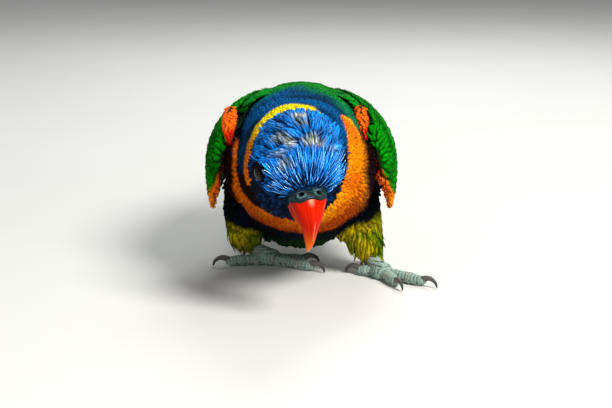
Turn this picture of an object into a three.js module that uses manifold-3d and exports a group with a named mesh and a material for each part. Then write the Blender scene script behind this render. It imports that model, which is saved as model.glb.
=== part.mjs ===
// A red-collared rainbow lorikeet at life size, standing low on both feet with its head bowed.
// Millimetres, +Z up. The bird faces -Y, so its own right side is on -X.
import * as THREE from "three";
import { mergeVertices } from "three/addons/utils/BufferGeometryUtils.js";
import Module from "manifold-3d";

const wasm = await Module();
wasm.setup();

// Gap left between neighbouring pieces
const GAP = 0.3;

// Feathered outline of neck and trunk along Y, from breast to tail root
const BODY_STATIONS = [
  { y: -46.5, top: 61, bottom: 47, half: 5.5 },
  { y: -41, top: 68.6, bottom: 36.4, half: 15.2 },
  { y: -33, top: 72.6, bottom: 27.2, half: 20.4 },
  { y: -21, top: 74.6, bottom: 20, half: 23.6 },
  { y: -6, top: 75.2, bottom: 14, half: 25.6 },
  { y: 10, top: 74.6, bottom: 11.4, half: 25.8 },
  { y: 26, top: 72, bottom: 17, half: 23.8 },
  { y: 42, top: 67.6, bottom: 28, half: 19.4 },
  { y: 56, top: 61.8, bottom: 37.6, half: 13.8 },
  { y: 70, top: 55.6, bottom: 44.4, half: 8.6 },
  { y: 77, top: 51.8, bottom: 46.4, half: 3.6 },
];
const BODY_RINGS = 17;
const BODY_SIDES = 24;
const BODY_FULLNESS = 2.25;

// The plane between neck and trunk leans back with the shoulders
const SHOULDER = { y: -26, z: 50, lean: THREE.MathUtils.degToRad(-19) };
const CUTTER_SIDE = 400;

// The head, in its own frame: X across, -Y towards the bill, +Z towards the crown
const HEAD = {
  centre: new THREE.Vector3(-1, -50, 55.5),
  bow: THREE.MathUtils.degToRad(50),
  turn: THREE.MathUtils.degToRad(15),
  roll: THREE.MathUtils.degToRad(-3),
  front: 17.2,
  back: 18.2,
  half: 16.7,
  crown: 15.6,
  throat: 15.4,
  narrowing: 0.2,
  sides: 24,
  rings: 14,
};
const EYE = { x: 12.9, y: -3.6, z: 2.5, radius: 4.1, socket: 0.3 };

// Bill and cere follow one arc; each section is half as wide and half as deep as named
const BILL_ARC = [
  [-12.5, 1.3],
  [-17.2, 0.6],
  [-21.2, -1.6],
  [-25, -5.8],
  [-27.4, -10],
  [-28.3, -13.9],
];
const CERE_END = 0.21;
const CERE = { wide: [7, 6.6], deep: [5.7, 5.3] };
const UPPER_BILL = {
  wide: [6.7, 5.1, 3.4, 2.0, 0.45],
  deep: [5.0, 4.5, 3.1, 1.7, 0.35],
};
const LOWER_BILL = {
  arc: [
    [-10, -7.6],
    [-15, -9.2],
    [-19, -10.2],
    [-22.2, -9.9],
  ],
  wide: [5.6, 4.8, 3.4, 1.4],
  deep: [3.6, 3.2, 2.3, 0.7],
};
const NOSTRIL = { apart: 6.3, along: 0.62, depth: 0.4, radius: 0.8 };

// A folded wing, held a little off the flank: edges as points [x, y, z] from shoulder to tip
const WING = {
  top: [
    [27.5, -16, 60],
    [25.5, -9, 66],
    [21.5, 8, 68],
    [17, 30, 68],
    [11.5, 54, 65],
    [6.5, 82, 58.5],
    [2.2, 124, 51],
  ],
  bottom: [
    [32.5, -17, 36],
    [34, -9, 27.5],
    [34.5, 6, 25.5],
    [32, 28, 30],
    [25, 56, 38],
    [16, 88, 44.5],
    [6, 124, 47],
  ],
  bulge: [1, 4.2, 7, 7, 5.2, 2.8, 0.5],
  thick: [2.6, 4.2, 4.8, 4, 2.6, 1.6, 0.8],
  rings: 16,
  across: 7,
  primariesFrom: 60,
};

// The long graduated tail, as one thin arched fan
const TAIL = {
  line: [
    [66, 48.6],
    [92, 44.6],
    [130, 39.6],
    [164, 35.4],
    [189, 32.6],
  ],
  wide: [6.5, 11.5, 13, 10.4, 2.6],
  deep: [3, 2, 1.4, 1, 0.6],
  arch: 2.2,
  rings: 10,
  sides: 14,
};

// Legs: side is -1 for the bird's right leg and +1 for its left one, whose foot turns outwards
const LEGS = [
  {
    name: "right",
    side: -1,
    hip: [18.5, 6, 36],
    knee: [20.5, 7, 24],
    ankle: [22, 10, 9.5],
    foot: [12, 11],
    turn: THREE.MathUtils.degToRad(74),
  },
  {
    name: "left",
    side: 1,
    hip: [18.5, 4, 36],
    knee: [21, 2, 23],
    ankle: [25, 0, 8.5],
    foot: [31.5, -8],
    turn: THREE.MathUtils.degToRad(-40),
  },
];
const THIGH = { wide: [11, 11.2, 9.6, 6.4], deep: [14, 13.4, 10, 6.4] };
const SHANK = { thick: [2.3, 2.2, 2.5, 2.9], drop: 3.4 };
const PAD = { wide: 4.2, deep: 3.5, height: 2.7 };

// Toes lie two forward and two back. Angles turn from straight ahead towards the bird's midline
const TOES = [
  { name: "outer_front", angle: -15, length: 19.5, thick: 2.45 },
  { name: "inner_front", angle: 19, length: 14, thick: 2.25 },
  { name: "outer_back", angle: 203, length: 18.5, thick: 2.4 },
  { name: "inner_back", angle: 156, length: 10.5, thick: 2.2 },
];
const TOE = { height: 1.8, arch: 0.4, pads: 3, swell: 0.07, steps: 9, sides: 8 };
const CLAW = { reach: 6.8, rise: 1.7, thick: 1.55, point: 0.25, floor: 0.3, steps: 5, sides: 6 };

const COLOURS = {
  hood: 0x1b4fd0,
  collar: 0xf5a412,
  back: 0x2f8f1c,
  wing: 0x259a22,
  tail: 0x3a8d2a,
  thigh: 0xa9a814,
  bill: 0xf04a12,
  cere: 0x22282c,
  eye: 0x7a1a10,
  foot: 0x8f9690,
  claw: 0x2c2e30,
};

function finish(colour, roughness) {
  return new THREE.MeshStandardMaterial({ color: colour, roughness, metalness: 0 });
}

// A manifold solid from a geometry, after a matrix where one is given
function solidOf(geometry, matrix) {
  const bare = geometry.clone();
  if (matrix) bare.applyMatrix4(matrix);
  bare.deleteAttribute("normal");
  bare.deleteAttribute("uv");
  const merged = mergeVertices(bare, 1e-4);
  const vertProperties = merged.attributes.position.array;
  const triVerts = new Uint32Array(merged.index.array);
  return new wasm.Manifold(new wasm.Mesh({ numProp: 3, vertProperties, triVerts }));
}

function geometryOf(solid) {
  const mesh = solid.getMesh();
  const geometry = new THREE.BufferGeometry();
  geometry.setAttribute("position", new THREE.BufferAttribute(mesh.vertProperties, 3));
  geometry.setIndex(new THREE.BufferAttribute(mesh.triVerts, 1));
  geometry.computeVertexNormals();
  return geometry;
}

function without(solid, neighbours) {
  return neighbours.reduce((rest, other) => rest.subtract(other), solid);
}

function signedVolume(points, index) {
  let volume = 0;
  for (let i = 0; i < index.length; i += 3) {
    const [a, b, c] = [points[index[i]], points[index[i + 1]], points[index[i + 2]]];
    volume += a.dot(new THREE.Vector3().crossVectors(b, c)) / 6;
  }
  return volume;
}

// A closed body through rings of points, with its faces turned outwards
function loft(rings) {
  const sides = rings[0].length;
  const points = rings.flat();
  const index = [];
  for (let i = 0; i + 1 < rings.length; i++) {
    for (let j = 0; j < sides; j++) {
      const a = i * sides + j;
      const b = i * sides + ((j + 1) % sides);
      index.push(a, b, b + sides, a, b + sides, a + sides);
    }
  }
  for (const [ring, first] of [[0, 0], [rings.length - 1, (rings.length - 1) * sides]]) {
    const centre = new THREE.Vector3();
    rings[ring].forEach((p) => centre.addScaledVector(p, 1 / sides));
    points.push(centre);
    for (let j = 0; j < sides; j++) {
      const pair = [first + j, first + ((j + 1) % sides)];
      if (ring === 0) pair.reverse();
      index.push(points.length - 1, ...pair);
    }
  }
  if (signedVolume(points, index) < 0) index.reverse();
  const geometry = new THREE.BufferGeometry().setFromPoints(points);
  return geometry.setIndex(index);
}

// A smooth function through evenly spaced values, from 0 to 1
function smooth(values) {
  const places = values.map((_, i) => i / (values.length - 1));
  const width = values[0].length ?? 1;
  const flow = new THREE.CubicInterpolant(places, values.flat(), width);
  return (t) => {
    const found = Array.from(flow.evaluate(THREE.MathUtils.clamp(t, 0, 1)));
    return width === 1 ? found[0] : found;
  };
}

function signedPower(x, power) {
  return Math.sign(x) * Math.abs(x) ** power;
}

// A tube of oval sections along a curve that lies in one plane; across is that plane's normal
function tube(curve, across, size, steps, sides, fullness = 2) {
  const rings = [];
  for (let i = 0; i <= steps; i++) {
    const t = i / steps;
    const centre = curve.getPointAt(t);
    const over = new THREE.Vector3().crossVectors(across, curve.getTangentAt(t)).normalize();
    const { wide, deep } = size(t);
    const ring = [];
    for (let j = 0; j < sides; j++) {
      const angle = (2 * Math.PI * j) / sides;
      const x = wide * signedPower(Math.cos(angle), 2 / fullness);
      const y = deep * signedPower(Math.sin(angle), 2 / fullness);
      ring.push(centre.clone().addScaledVector(across, x).addScaledVector(over, y));
    }
    rings.push(ring);
  }
  return loft(rings);
}

// Neck and trunk as one body, grown by a margin where it clears a neighbour
function bodySolid(grow = 0) {
  const row = smooth(BODY_STATIONS.map(({ y, top, bottom, half }) => [y, top, bottom, half]));
  const rings = [];
  for (let i = 0; i <= BODY_RINGS; i++) {
    const [y, top, bottom, half] = row(i / BODY_RINGS);
    const ring = [];
    for (let j = 0; j < BODY_SIDES; j++) {
      const angle = (2 * Math.PI * j) / BODY_SIDES;
      const x = (half + grow) * signedPower(Math.cos(angle), 2 / BODY_FULLNESS);
      const rise = ((top - bottom) / 2 + grow) * signedPower(Math.sin(angle), 2 / BODY_FULLNESS);
      ring.push(new THREE.Vector3(x, y, (top + bottom) / 2 + rise));
    }
    rings.push(ring);
  }
  return solidOf(loft(rings));
}

// A block whose near face is the shoulder plane, moved forward by a margin
function aheadOfShoulder(forward) {
  const block = new THREE.BoxGeometry(CUTTER_SIDE, CUTTER_SIDE, CUTTER_SIDE);
  block.translate(0, -CUTTER_SIDE / 2 - forward, 0);
  block.rotateX(SHOULDER.lean);
  block.translate(0, SHOULDER.y, SHOULDER.z);
  return solidOf(block);
}

// The feathered head: rounder behind, narrower towards the bill
function headShape(grow = 0) {
  const shape = new THREE.SphereGeometry(1, HEAD.sides, HEAD.rings);
  const place = shape.attributes.position;
  for (let i = 0; i < place.count; i++) {
    const [x, y, z] = [place.getX(i), place.getY(i), place.getZ(i)];
    const narrow = 1 - HEAD.narrowing * Math.max(0, -y) ** 2;
    place.setXYZ(
      i,
      x * (HEAD.half + grow) * narrow,
      y * ((y < 0 ? HEAD.front : HEAD.back) + grow),
      z * ((z > 0 ? HEAD.crown : HEAD.throat) + grow) * narrow,
    );
  }
  return shape;
}

function curveThrough(points) {
  return new THREE.CatmullRomCurve3(points.map(([y, z]) => new THREE.Vector3(0, y, z)));
}

function tapered(curve, sizes, grow, steps, sides, fullness) {
  const wide = smooth(sizes.wide);
  const deep = smooth(sizes.deep);
  const size = (t) => ({ wide: wide(t) + grow, deep: deep(t) + grow });
  return tube(curve, new THREE.Vector3(1, 0, 0), size, steps, sides, fullness);
}

// The part of a curve between two shares of its length
function stretch(curve, from, to, count = 12) {
  const points = [];
  for (let i = 0; i <= count; i++) points.push(curve.getPointAt(from + ((to - from) * i) / count));
  return new THREE.CatmullRomCurve3(points);
}

function billPieces(headSolid) {
  const arc = curveThrough(BILL_ARC);
  const upperArc = stretch(arc, CERE_END, 1);
  const cereArc = stretch(arc, 0, CERE_END - GAP / arc.getLength());
  const upper = (grow) => solidOf(tapered(upperArc, UPPER_BILL, grow, 11, 14, 2.3));
  const lowerArc = curveThrough(LOWER_BILL.arc);
  const cereWhole = (grow) => solidOf(tapered(cereArc, CERE, grow, 2, 14, 2.3));
  const nostrils = [-1, 1].map((side) => {
    const pit = new THREE.SphereGeometry(NOSTRIL.radius, 7, 5);
    const at = cereArc.getPointAt(NOSTRIL.along);
    pit.translate((side * NOSTRIL.apart) / 2, at.y, at.z + CERE.deep[1] - NOSTRIL.depth);
    return solidOf(pit);
  });
  const lower = solidOf(tapered(lowerArc, LOWER_BILL, 0, 6, 12, 2.2));
  return {
    cere: without(cereWhole(0), [headSolid, upper(GAP), ...nostrils]),
    bill_upper: without(upper(0), [headSolid]),
    bill_lower: without(lower, [headSolid, upper(GAP), cereWhole(GAP)]),
  };
}

function eyeShape(side, grow = 0) {
  const ball = new THREE.SphereGeometry(EYE.radius + grow, 12, 9);
  return ball.translate(side * EYE.x, EYE.y, EYE.z);
}

// The whole folded wing on one side, from shoulder to the tips of the primaries
function wingSolid(side, grow = 0) {
  const top = smooth(WING.top);
  const bottom = smooth(WING.bottom);
  const bulge = smooth(WING.bulge);
  const thick = smooth(WING.thick);
  const rings = [];
  for (let i = 0; i <= WING.rings; i++) {
    const t = i / WING.rings;
    const [from, to] = [new THREE.Vector3(...top(t)), new THREE.Vector3(...bottom(t))];
    const across = to.clone().sub(from);
    const out = new THREE.Vector3(across.z, 0, -across.x).normalize();
    if (out.x < 0) out.negate();
    const outer = [];
    const inner = [];
    for (let j = 0; j <= WING.across; j++) {
      const w = j / WING.across;
      const swell = Math.sin(Math.PI * w ** 0.82);
      const body = (thick(t) / 2) * (0.25 + 0.75 * Math.sqrt(swell)) + grow;
      const middle = from.clone().addScaledVector(across, w).addScaledVector(out, bulge(t) * swell);
      outer.push(middle.clone().addScaledVector(out, body));
      inner.unshift(middle.clone().addScaledVector(out, -body));
    }
    rings.push([...outer, ...inner].map((p) => p.setX(p.x * side)));
  }
  return solidOf(loft(rings));
}

function behind(y) {
  const block = new THREE.BoxGeometry(CUTTER_SIDE, CUTTER_SIDE, CUTTER_SIDE);
  return solidOf(block.translate(0, y + CUTTER_SIDE / 2, 0));
}

// A thin fan, arched across like a shallow roof
function tailSolid(grow = 0) {
  const line = curveThrough(TAIL.line);
  const fan = tapered(line, TAIL, grow, TAIL.rings, TAIL.sides, 2.4);
  const place = fan.attributes.position;
  const widest = Math.max(...TAIL.wide);
  for (let i = 0; i < place.count; i++) {
    place.setZ(i, place.getZ(i) - TAIL.arch * (place.getX(i) / widest) ** 2);
  }
  return solidOf(fan);
}

function thighSolid(leg, grow = 0) {
  const joints = [leg.hip, leg.knee, leg.ankle].map(([x, y, z]) => new THREE.Vector3(x * leg.side, y, z));
  const curve = new THREE.CatmullRomCurve3(joints);
  const wide = smooth(THIGH.wide);
  const deep = smooth(THIGH.deep);
  const size = (t) => ({ wide: wide(t) + grow, deep: deep(t) + grow });
  return solidOf(tube(curve, new THREE.Vector3(1, 0, 0), size, 8, 12));
}

// The bare shank, from under the thigh's feathers down to the pad that carries the toes
function shankSolid(leg, grow = 0) {
  const [x, y] = leg.foot;
  const ankle = new THREE.Vector3(leg.ankle[0] * leg.side, leg.ankle[1], leg.ankle[2]);
  const pad = new THREE.Vector3(x * leg.side, y, SHANK.drop);
  const along = pad.clone().sub(ankle);
  const start = ankle.clone().addScaledVector(along, -0.25);
  const curve = new THREE.LineCurve3(start, pad);
  const across = new THREE.Vector3(-along.y, along.x, 0).normalize();
  const thick = smooth(SHANK.thick);
  const size = (t) => ({ wide: thick(t) + grow, deep: thick(t) + grow });
  const ball = new THREE.SphereGeometry(1, 12, 8);
  ball.rotateX(Math.PI / 2).scale(PAD.wide + grow, PAD.wide + grow, PAD.deep + grow);
  ball.translate(x * leg.side, y, PAD.height);
  return solidOf(tube(curve, across, size, 5, 10)).add(solidOf(ball));
}

function belowFloor() {
  const block = new THREE.BoxGeometry(CUTTER_SIDE, CUTTER_SIDE, CUTTER_SIDE);
  return solidOf(block.translate(0, 0, -CUTTER_SIDE / 2));
}

function toeDirection(leg, toe) {
  const angle = leg.turn + THREE.MathUtils.degToRad(toe.angle);
  return new THREE.Vector3(-leg.side * Math.sin(angle), -Math.cos(angle), 0);
}

// A toe with its row of pads, arched a little off the floor in the middle
function toeSolid(leg, toe, grow = 0) {
  const way = toeDirection(leg, toe);
  const root = new THREE.Vector3(leg.foot[0] * leg.side, leg.foot[1], TOE.height);
  const middle = root.clone().addScaledVector(way, toe.length / 2).setZ(TOE.height + TOE.arch);
  const end = root.clone().addScaledVector(way, toe.length).setZ(TOE.height);
  const curve = new THREE.CatmullRomCurve3([root, middle, end]);
  const across = new THREE.Vector3(-way.y, way.x, 0);
  const size = (t) => {
    const pad = 1 + TOE.swell * Math.cos(2 * Math.PI * TOE.pads * t);
    const round = Math.sqrt(Math.max(0.16, 1 - Math.max(0, (t - 0.86) / 0.14) ** 2));
    const radius = toe.thick * (1 - 0.14 * t) * pad * round + grow;
    return { wide: radius, deep: radius };
  };
  return solidOf(tube(curve, across, size, TOE.steps, TOE.sides));
}

function clawSolid(leg, toe) {
  const way = toeDirection(leg, toe);
  const at = (reach, z) => {
    const [x, y] = [leg.foot[0] * leg.side, leg.foot[1]];
    return new THREE.Vector3(x, y, z).addScaledVector(way, toe.length + reach);
  };
  const curve = new THREE.CatmullRomCurve3([
    at(-2, TOE.height + 0.5),
    at(CLAW.reach * 0.25, TOE.height + CLAW.rise),
    at(CLAW.reach * 0.7, TOE.height + CLAW.rise * 0.35),
    at(CLAW.reach * 0.86, CLAW.floor),
  ]);
  const across = new THREE.Vector3(-way.y, way.x, 0);
  const size = (t) => {
    const radius = CLAW.point + (CLAW.thick - CLAW.point) * (1 - t) ** 0.7;
    return { wide: radius * 0.85, deep: radius };
  };
  return solidOf(tube(curve, across, size, CLAW.steps, CLAW.sides));
}

const bird = new THREE.Group();

function add(parent, name, solid, material) {
  const mesh = new THREE.Mesh(geometryOf(solid), material);
  mesh.name = name;
  parent.add(mesh);
}

// Head, eyes, cere and bill hang in one group that bows, turns and rolls together
const headGroup = new THREE.Group();
headGroup.position.copy(HEAD.centre);
headGroup.rotation.set(HEAD.bow, HEAD.roll, HEAD.turn, "ZYX");
headGroup.updateMatrixWorld(true);
bird.add(headGroup);

const sockets = [-1, 1].map((side) => solidOf(eyeShape(side, EYE.socket)));
add(headGroup, "head", without(solidOf(headShape()), sockets), finish(COLOURS.hood, 0.75));
[["eye_right", -1], ["eye_left", 1]].forEach(([name, side]) => {
  add(headGroup, name, solidOf(eyeShape(side)), finish(COLOURS.eye, 0.1));
});
const bill = billPieces(solidOf(headShape(GAP)));
add(headGroup, "cere", bill.cere, finish(COLOURS.cere, 0.6));
add(headGroup, "bill_upper", bill.bill_upper, finish(COLOURS.bill, 0.35));
add(headGroup, "bill_lower", bill.bill_lower, finish(COLOURS.bill, 0.35));

const body = bodySolid();
const bodyCleared = bodySolid(GAP);
const headCleared = solidOf(headShape(GAP), headGroup.matrixWorld);
add(bird, "neck", without(body.intersect(aheadOfShoulder(GAP / 2)), [headCleared]), finish(COLOURS.collar, 0.8));
add(bird, "trunk", body.subtract(aheadOfShoulder(-GAP / 2)), finish(COLOURS.back, 0.8));
add(bird, "tail", without(tailSolid(), [bodyCleared]), finish(COLOURS.tail, 0.7));
const tailCleared = tailSolid(GAP);

for (const [sideName, side] of [["right", -1], ["left", 1]]) {
  const wing = without(wingSolid(side), [bodyCleared, tailCleared]);
  const primaries = behind(WING.primariesFrom + GAP / 2);
  add(bird, `wing_${sideName}`, wing.subtract(behind(WING.primariesFrom - GAP / 2)), finish(COLOURS.wing, 0.7));
  add(bird, `primaries_${sideName}`, wing.intersect(primaries), finish(COLOURS.wing, 0.7));
}

for (const leg of LEGS) {
  const wingCleared = wingSolid(leg.side, GAP);
  const thigh = without(thighSolid(leg), [bodyCleared, wingCleared]);
  const shank = without(shankSolid(leg), [bodyCleared, thighSolid(leg, GAP), belowFloor()]);
  add(bird, `thigh_${leg.name}`, thigh, finish(COLOURS.thigh, 0.8));
  add(bird, `shank_${leg.name}`, shank, finish(COLOURS.foot, 0.7));
  const shankCleared = shankSolid(leg, GAP);
  TOES.forEach((toe, i) => {
    const inside = TOES.slice(0, i).map((other) => toeSolid(leg, other, GAP));
    const solid = without(toeSolid(leg, toe), [shankCleared, belowFloor(), ...inside]);
    add(bird, `toe_${leg.name}_${toe.name}`, solid, finish(COLOURS.foot, 0.7));
    const claw = without(clawSolid(leg, toe), [toeSolid(leg, toe, GAP)]);
    add(bird, `claw_${leg.name}_${toe.name}`, claw, finish(COLOURS.claw, 0.4));
  });
}

// The origin is on the floor, under the middle of the whole bird
const extent = new THREE.Box3().setFromObject(bird, true);
const middle = extent.getCenter(new THREE.Vector3());
bird.position.set(-middle.x, -middle.y, -extent.min.z);

export default bird;
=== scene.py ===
"""A red-collared rainbow lorikeet at life size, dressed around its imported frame.

The bird stands low on both feet with its head bowed towards the camera. One skin lies under
the plumage, and every feather is a thin closed vane laid over it. Sizes are millimetres in the
design frame, in which the bird faces -Y and stands on Z = 0; meshes are written in metres.
"""

import logging
import math
from dataclasses import dataclass, field
from enum import Enum
from typing import Any, Callable, Sequence

import bpy
import bmesh
import numpy as np
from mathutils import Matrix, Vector


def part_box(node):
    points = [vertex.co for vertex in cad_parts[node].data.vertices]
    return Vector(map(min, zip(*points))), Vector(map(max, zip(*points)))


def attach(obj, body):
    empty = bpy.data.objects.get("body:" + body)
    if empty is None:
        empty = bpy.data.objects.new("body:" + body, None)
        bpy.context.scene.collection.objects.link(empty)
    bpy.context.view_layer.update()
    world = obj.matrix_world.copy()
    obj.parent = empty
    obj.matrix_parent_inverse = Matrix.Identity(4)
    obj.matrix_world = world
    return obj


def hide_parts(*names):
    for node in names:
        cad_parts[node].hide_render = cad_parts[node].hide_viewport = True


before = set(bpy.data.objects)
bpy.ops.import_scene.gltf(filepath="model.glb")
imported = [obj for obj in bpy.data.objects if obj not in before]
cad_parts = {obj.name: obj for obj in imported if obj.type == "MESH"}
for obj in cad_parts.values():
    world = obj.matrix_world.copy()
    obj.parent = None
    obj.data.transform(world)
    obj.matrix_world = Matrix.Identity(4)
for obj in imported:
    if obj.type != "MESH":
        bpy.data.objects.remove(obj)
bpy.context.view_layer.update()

Array = np.ndarray
Mesh = bpy.types.Mesh
Node = bpy.types.Node
Object = bpy.types.Object
Material = bpy.types.Material
Socket = bpy.types.NodeSocket
Rng = np.random.Generator
Point = tuple[float, float, float]
Colour = tuple[int, int, int]

LOG = logging.getLogger("lorikeet")
MM = 0.001
BODY = "root"
SIDES = {"right": -1.0, "left": 1.0}
UP = np.array([0.0, 0.0, 1.0])
TAILWARD = np.array([0.0, 1.0, 0.0])
TUFT_PATCH = 0.003


class Tone(Enum):
    """Colours of plumage, horn and skin, as 8-bit sRGB."""

    CROWN = (0, 138, 240)
    CROWN_DEEP = (0, 76, 150)
    FACE = (0, 35, 86)
    THROAT = (0, 14, 38)
    DOWN = (104, 118, 104)
    DOWN_PALE = (190, 196, 184)
    # Pale shaft colour: partly the feathers' own pale streaks, partly a painted glint.
    GLEAM = (190, 236, 250)
    NAPE_YELLOW = (248, 222, 0)
    NAPE_ORANGE = (222, 112, 2)
    HINDNECK = (0, 82, 140)
    HINDNECK_DARK = (0, 22, 34)
    TEAL = (0, 104, 84)
    MANTLE = (6, 138, 26)
    MANTLE_DARK = (0, 84, 44)
    BREAST = (248, 138, 4)
    BREAST_YELLOW = (252, 172, 24)
    # Orange-red painted darker: a painted shade on flanks, breast, wing linings, bends and wing skin.
    BREAST_RED = (210, 70, 2)
    MAROON = (44, 8, 2)
    BELLY = (2, 8, 8)
    BELLY_BLUE = (2, 12, 28)
    FLANK = (12, 46, 8)
    THIGH = (186, 166, 2)
    THIGH_GREEN = (38, 96, 2)
    VENT = (140, 150, 8)
    WING = (6, 134, 8)
    WING_DARK = (0, 72, 4)
    WING_YELLOW = (96, 164, 4)
    COVERT_ORANGE = (255, 108, 20)
    COVERT_RED = (226, 40, 4)
    COVERT_AMBER = (246, 138, 8)
    QUILL = (14, 16, 18)
    QUILL_GREEN = (10, 104, 14)
    TAIL = (10, 112, 18)
    TAIL_BLUE = (2, 78, 84)
    TAIL_UNDER = (118, 116, 20)

    @property
    def linear(self) -> Array:
        """The tone as linear RGB."""
        return linear(self.value)


def linear(srgb: Sequence[float]) -> Array:
    """Linear RGB of an 8-bit sRGB colour."""
    share = np.asarray(srgb, float) / 255
    return np.where(share <= 0.04045, share / 12.92, ((share + 0.055) / 1.055) ** 2.4)


def rgba(srgb: Sequence[float]) -> tuple[float, ...]:
    """A shader colour of an 8-bit sRGB colour."""
    return (*linear(srgb), 1.0)


def smoothstep(low: float, high: float, value: Array) -> Array:
    """A soft step from 0 at low to 1 at high, which may be the smaller of the two."""
    share = np.clip((np.asarray(value, float) - low) / (high - low), 0, 1)
    return share * share * (3 - 2 * share)


def blend(first: Array | Tone, second: Array | Tone, share: Array) -> Array:
    """Rows of first turned into rows of second by a share of 0 to 1 for each row."""
    first, second = (side.linear if isinstance(side, Tone) else side for side in (first, second))
    return first + (second - first) * np.asarray(share)[..., None]


def unit(vectors: Array) -> Array:
    """Vectors scaled to length one."""
    return vectors / np.maximum(np.linalg.norm(vectors, axis=-1, keepdims=True), 1e-9)


def tangent(vectors: Array, normals: Array) -> Array:
    """The part of each vector that lies along the surface, at length one."""
    return unit(vectors - normals * (vectors * normals).sum(-1, keepdims=True))


def turned(vectors: Array, axes: Array, angles: Array) -> Array:
    """Vectors turned about unit axes at right angles to them."""
    return vectors * np.cos(angles)[:, None] + np.cross(axes, vectors) * np.sin(angles)[:, None]


class Noise:
    """Smooth value noise in three dimensions, the same for the same seed."""

    def __init__(self, seed: int, grain: float) -> None:
        """Args: seed: picks the pattern. grain: the size of one patch, in millimetres."""
        self.values = np.random.default_rng(seed).random(8192)
        self.grain = grain

    def __call__(self, points: Array) -> Array:
        """A value from 0 to 1 at each point.

        Args:
            points: the places.

        Returns:
            The values.
        """
        place = np.asarray(points, float) / self.grain
        cell = np.floor(place).astype(np.int64)
        share = place - cell
        share = share * share * (3 - 2 * share)
        total = np.zeros(len(place))
        for corner in np.ndindex(2, 2, 2):
            at = cell + corner
            key = (at[:, 0] * 73856093) ^ (at[:, 1] * 19349663) ^ (at[:, 2] * 83492791)
            weight = np.prod(np.where(corner, share, 1 - share), axis=1)
            total += weight * self.values[key & 8191]
        return total


class Spline:
    """A smooth curve through evenly spaced values."""

    def __init__(self, values: Sequence) -> None:
        """Args: values: numbers or points, one for each station."""
        self.values = np.asarray(values, float).reshape(len(values), -1)
        self.slopes = np.gradient(self.values, axis=0)

    def __call__(self, share: float | Array) -> Array:
        """Values at shares of the way from the first station to the last.

        Args:
            share: shares of the way from the first station to the last.

        Returns:
            The values there.
        """
        last = len(self.values) - 1
        place = np.clip(np.asarray(share, float), 0, 1) * last
        at = np.minimum(place.astype(int), last - 1)
        f = (place - at)[..., None]
        start, end = self.values[at], self.values[at + 1]
        rise = self.slopes[at] * (f**3 - 2 * f**2 + f) + self.slopes[at + 1] * (f**3 - f**2)
        found = start * (2 * f**3 - 3 * f**2 + 1) + end * (3 * f**2 - 2 * f**3) + rise
        return found[..., 0] if self.values.shape[1] == 1 else found


class Route:
    """A smooth curve through points, walked by its length."""

    def __init__(self, points: Sequence[Sequence[float]], fine: int = 400) -> None:
        """Args: points: the curve's stations. fine: how many steps measure its length."""
        self.line = Spline(points)
        self.shares = np.linspace(0, 1, fine)
        steps = np.linalg.norm(np.diff(self.line(self.shares), axis=0), axis=1)
        self.lengths = np.concatenate([[0], np.cumsum(steps)])

    @property
    def length(self) -> float:
        """The curve's length."""
        return float(self.lengths[-1])

    def at(self, share: float | Array) -> Array:
        """Points at shares of the curve's length."""
        return self.line(np.interp(np.asarray(share) * self.length, self.lengths, self.shares))

    def heading(self, share: Array) -> Array:
        """Directions of the curve at shares of its length."""
        return unit(self.at(np.clip(share + 0.01, 0, 1)) - self.at(np.clip(share - 0.01, 0, 1)))


@dataclass(frozen=True)
class Posture:
    """Where the design frame and the head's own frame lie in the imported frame."""

    head: Point = (-1.0, -50.0, 55.5)
    bow: float = 50.0
    turn: float = 15.0
    roll: float = -3.0
    eye: Point = (12.9, -3.6, 2.5)

    @property
    def axes(self) -> Array:
        """The head's own axes as columns: across, back and crownwards.

        Returns:
            A matrix.
        """
        bow, turn, roll = (math.radians(a) for a in (self.bow, self.turn, self.roll))
        (cx, cy, cz), (sx, sy, sz) = ([way(a) for a in (bow, roll, turn)] for way in (math.cos, math.sin))
        about_x = [[1, 0, 0], [0, cx, -sx], [0, sx, cx]]
        about_y = [[cy, 0, sy], [0, 1, 0], [-sy, 0, cy]]
        about_z = [[cz, -sz, 0], [sz, cz, 0], [0, 0, 1]]
        return np.array(about_z) @ np.array(about_y) @ np.array(about_x)

    @property
    def shift(self) -> Array:
        """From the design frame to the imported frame, found from where the eyes are.

        Returns:
            The shift in millimetres.
        """
        boxes = [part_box(f"eye_{side}") for side in SIDES]
        found = sum(np.array(low) + np.array(high) for low, high in boxes) / 4 / MM
        return found - self.from_head(np.array([0.0, self.eye[1], self.eye[2]]))

    def from_head(self, points: Array) -> Array:
        """Design points of points in the head's frame."""
        return np.asarray(points) @ self.axes.T + np.array(self.head)

    def to_head(self, points: Array) -> Array:
        """Points in the head's frame of design points."""
        return (np.asarray(points) - np.array(self.head)) @ self.axes


POSTURE = Posture()
SHIFT = POSTURE.shift


def to_metres(points: Array) -> Array:
    """Packed-frame metres of design millimetres."""
    return (np.asarray(points) + SHIFT) * MM


def to_design(points: Array) -> Array:
    """Design millimetres of packed-frame metres."""
    return np.asarray(points) / MM - SHIFT


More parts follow.
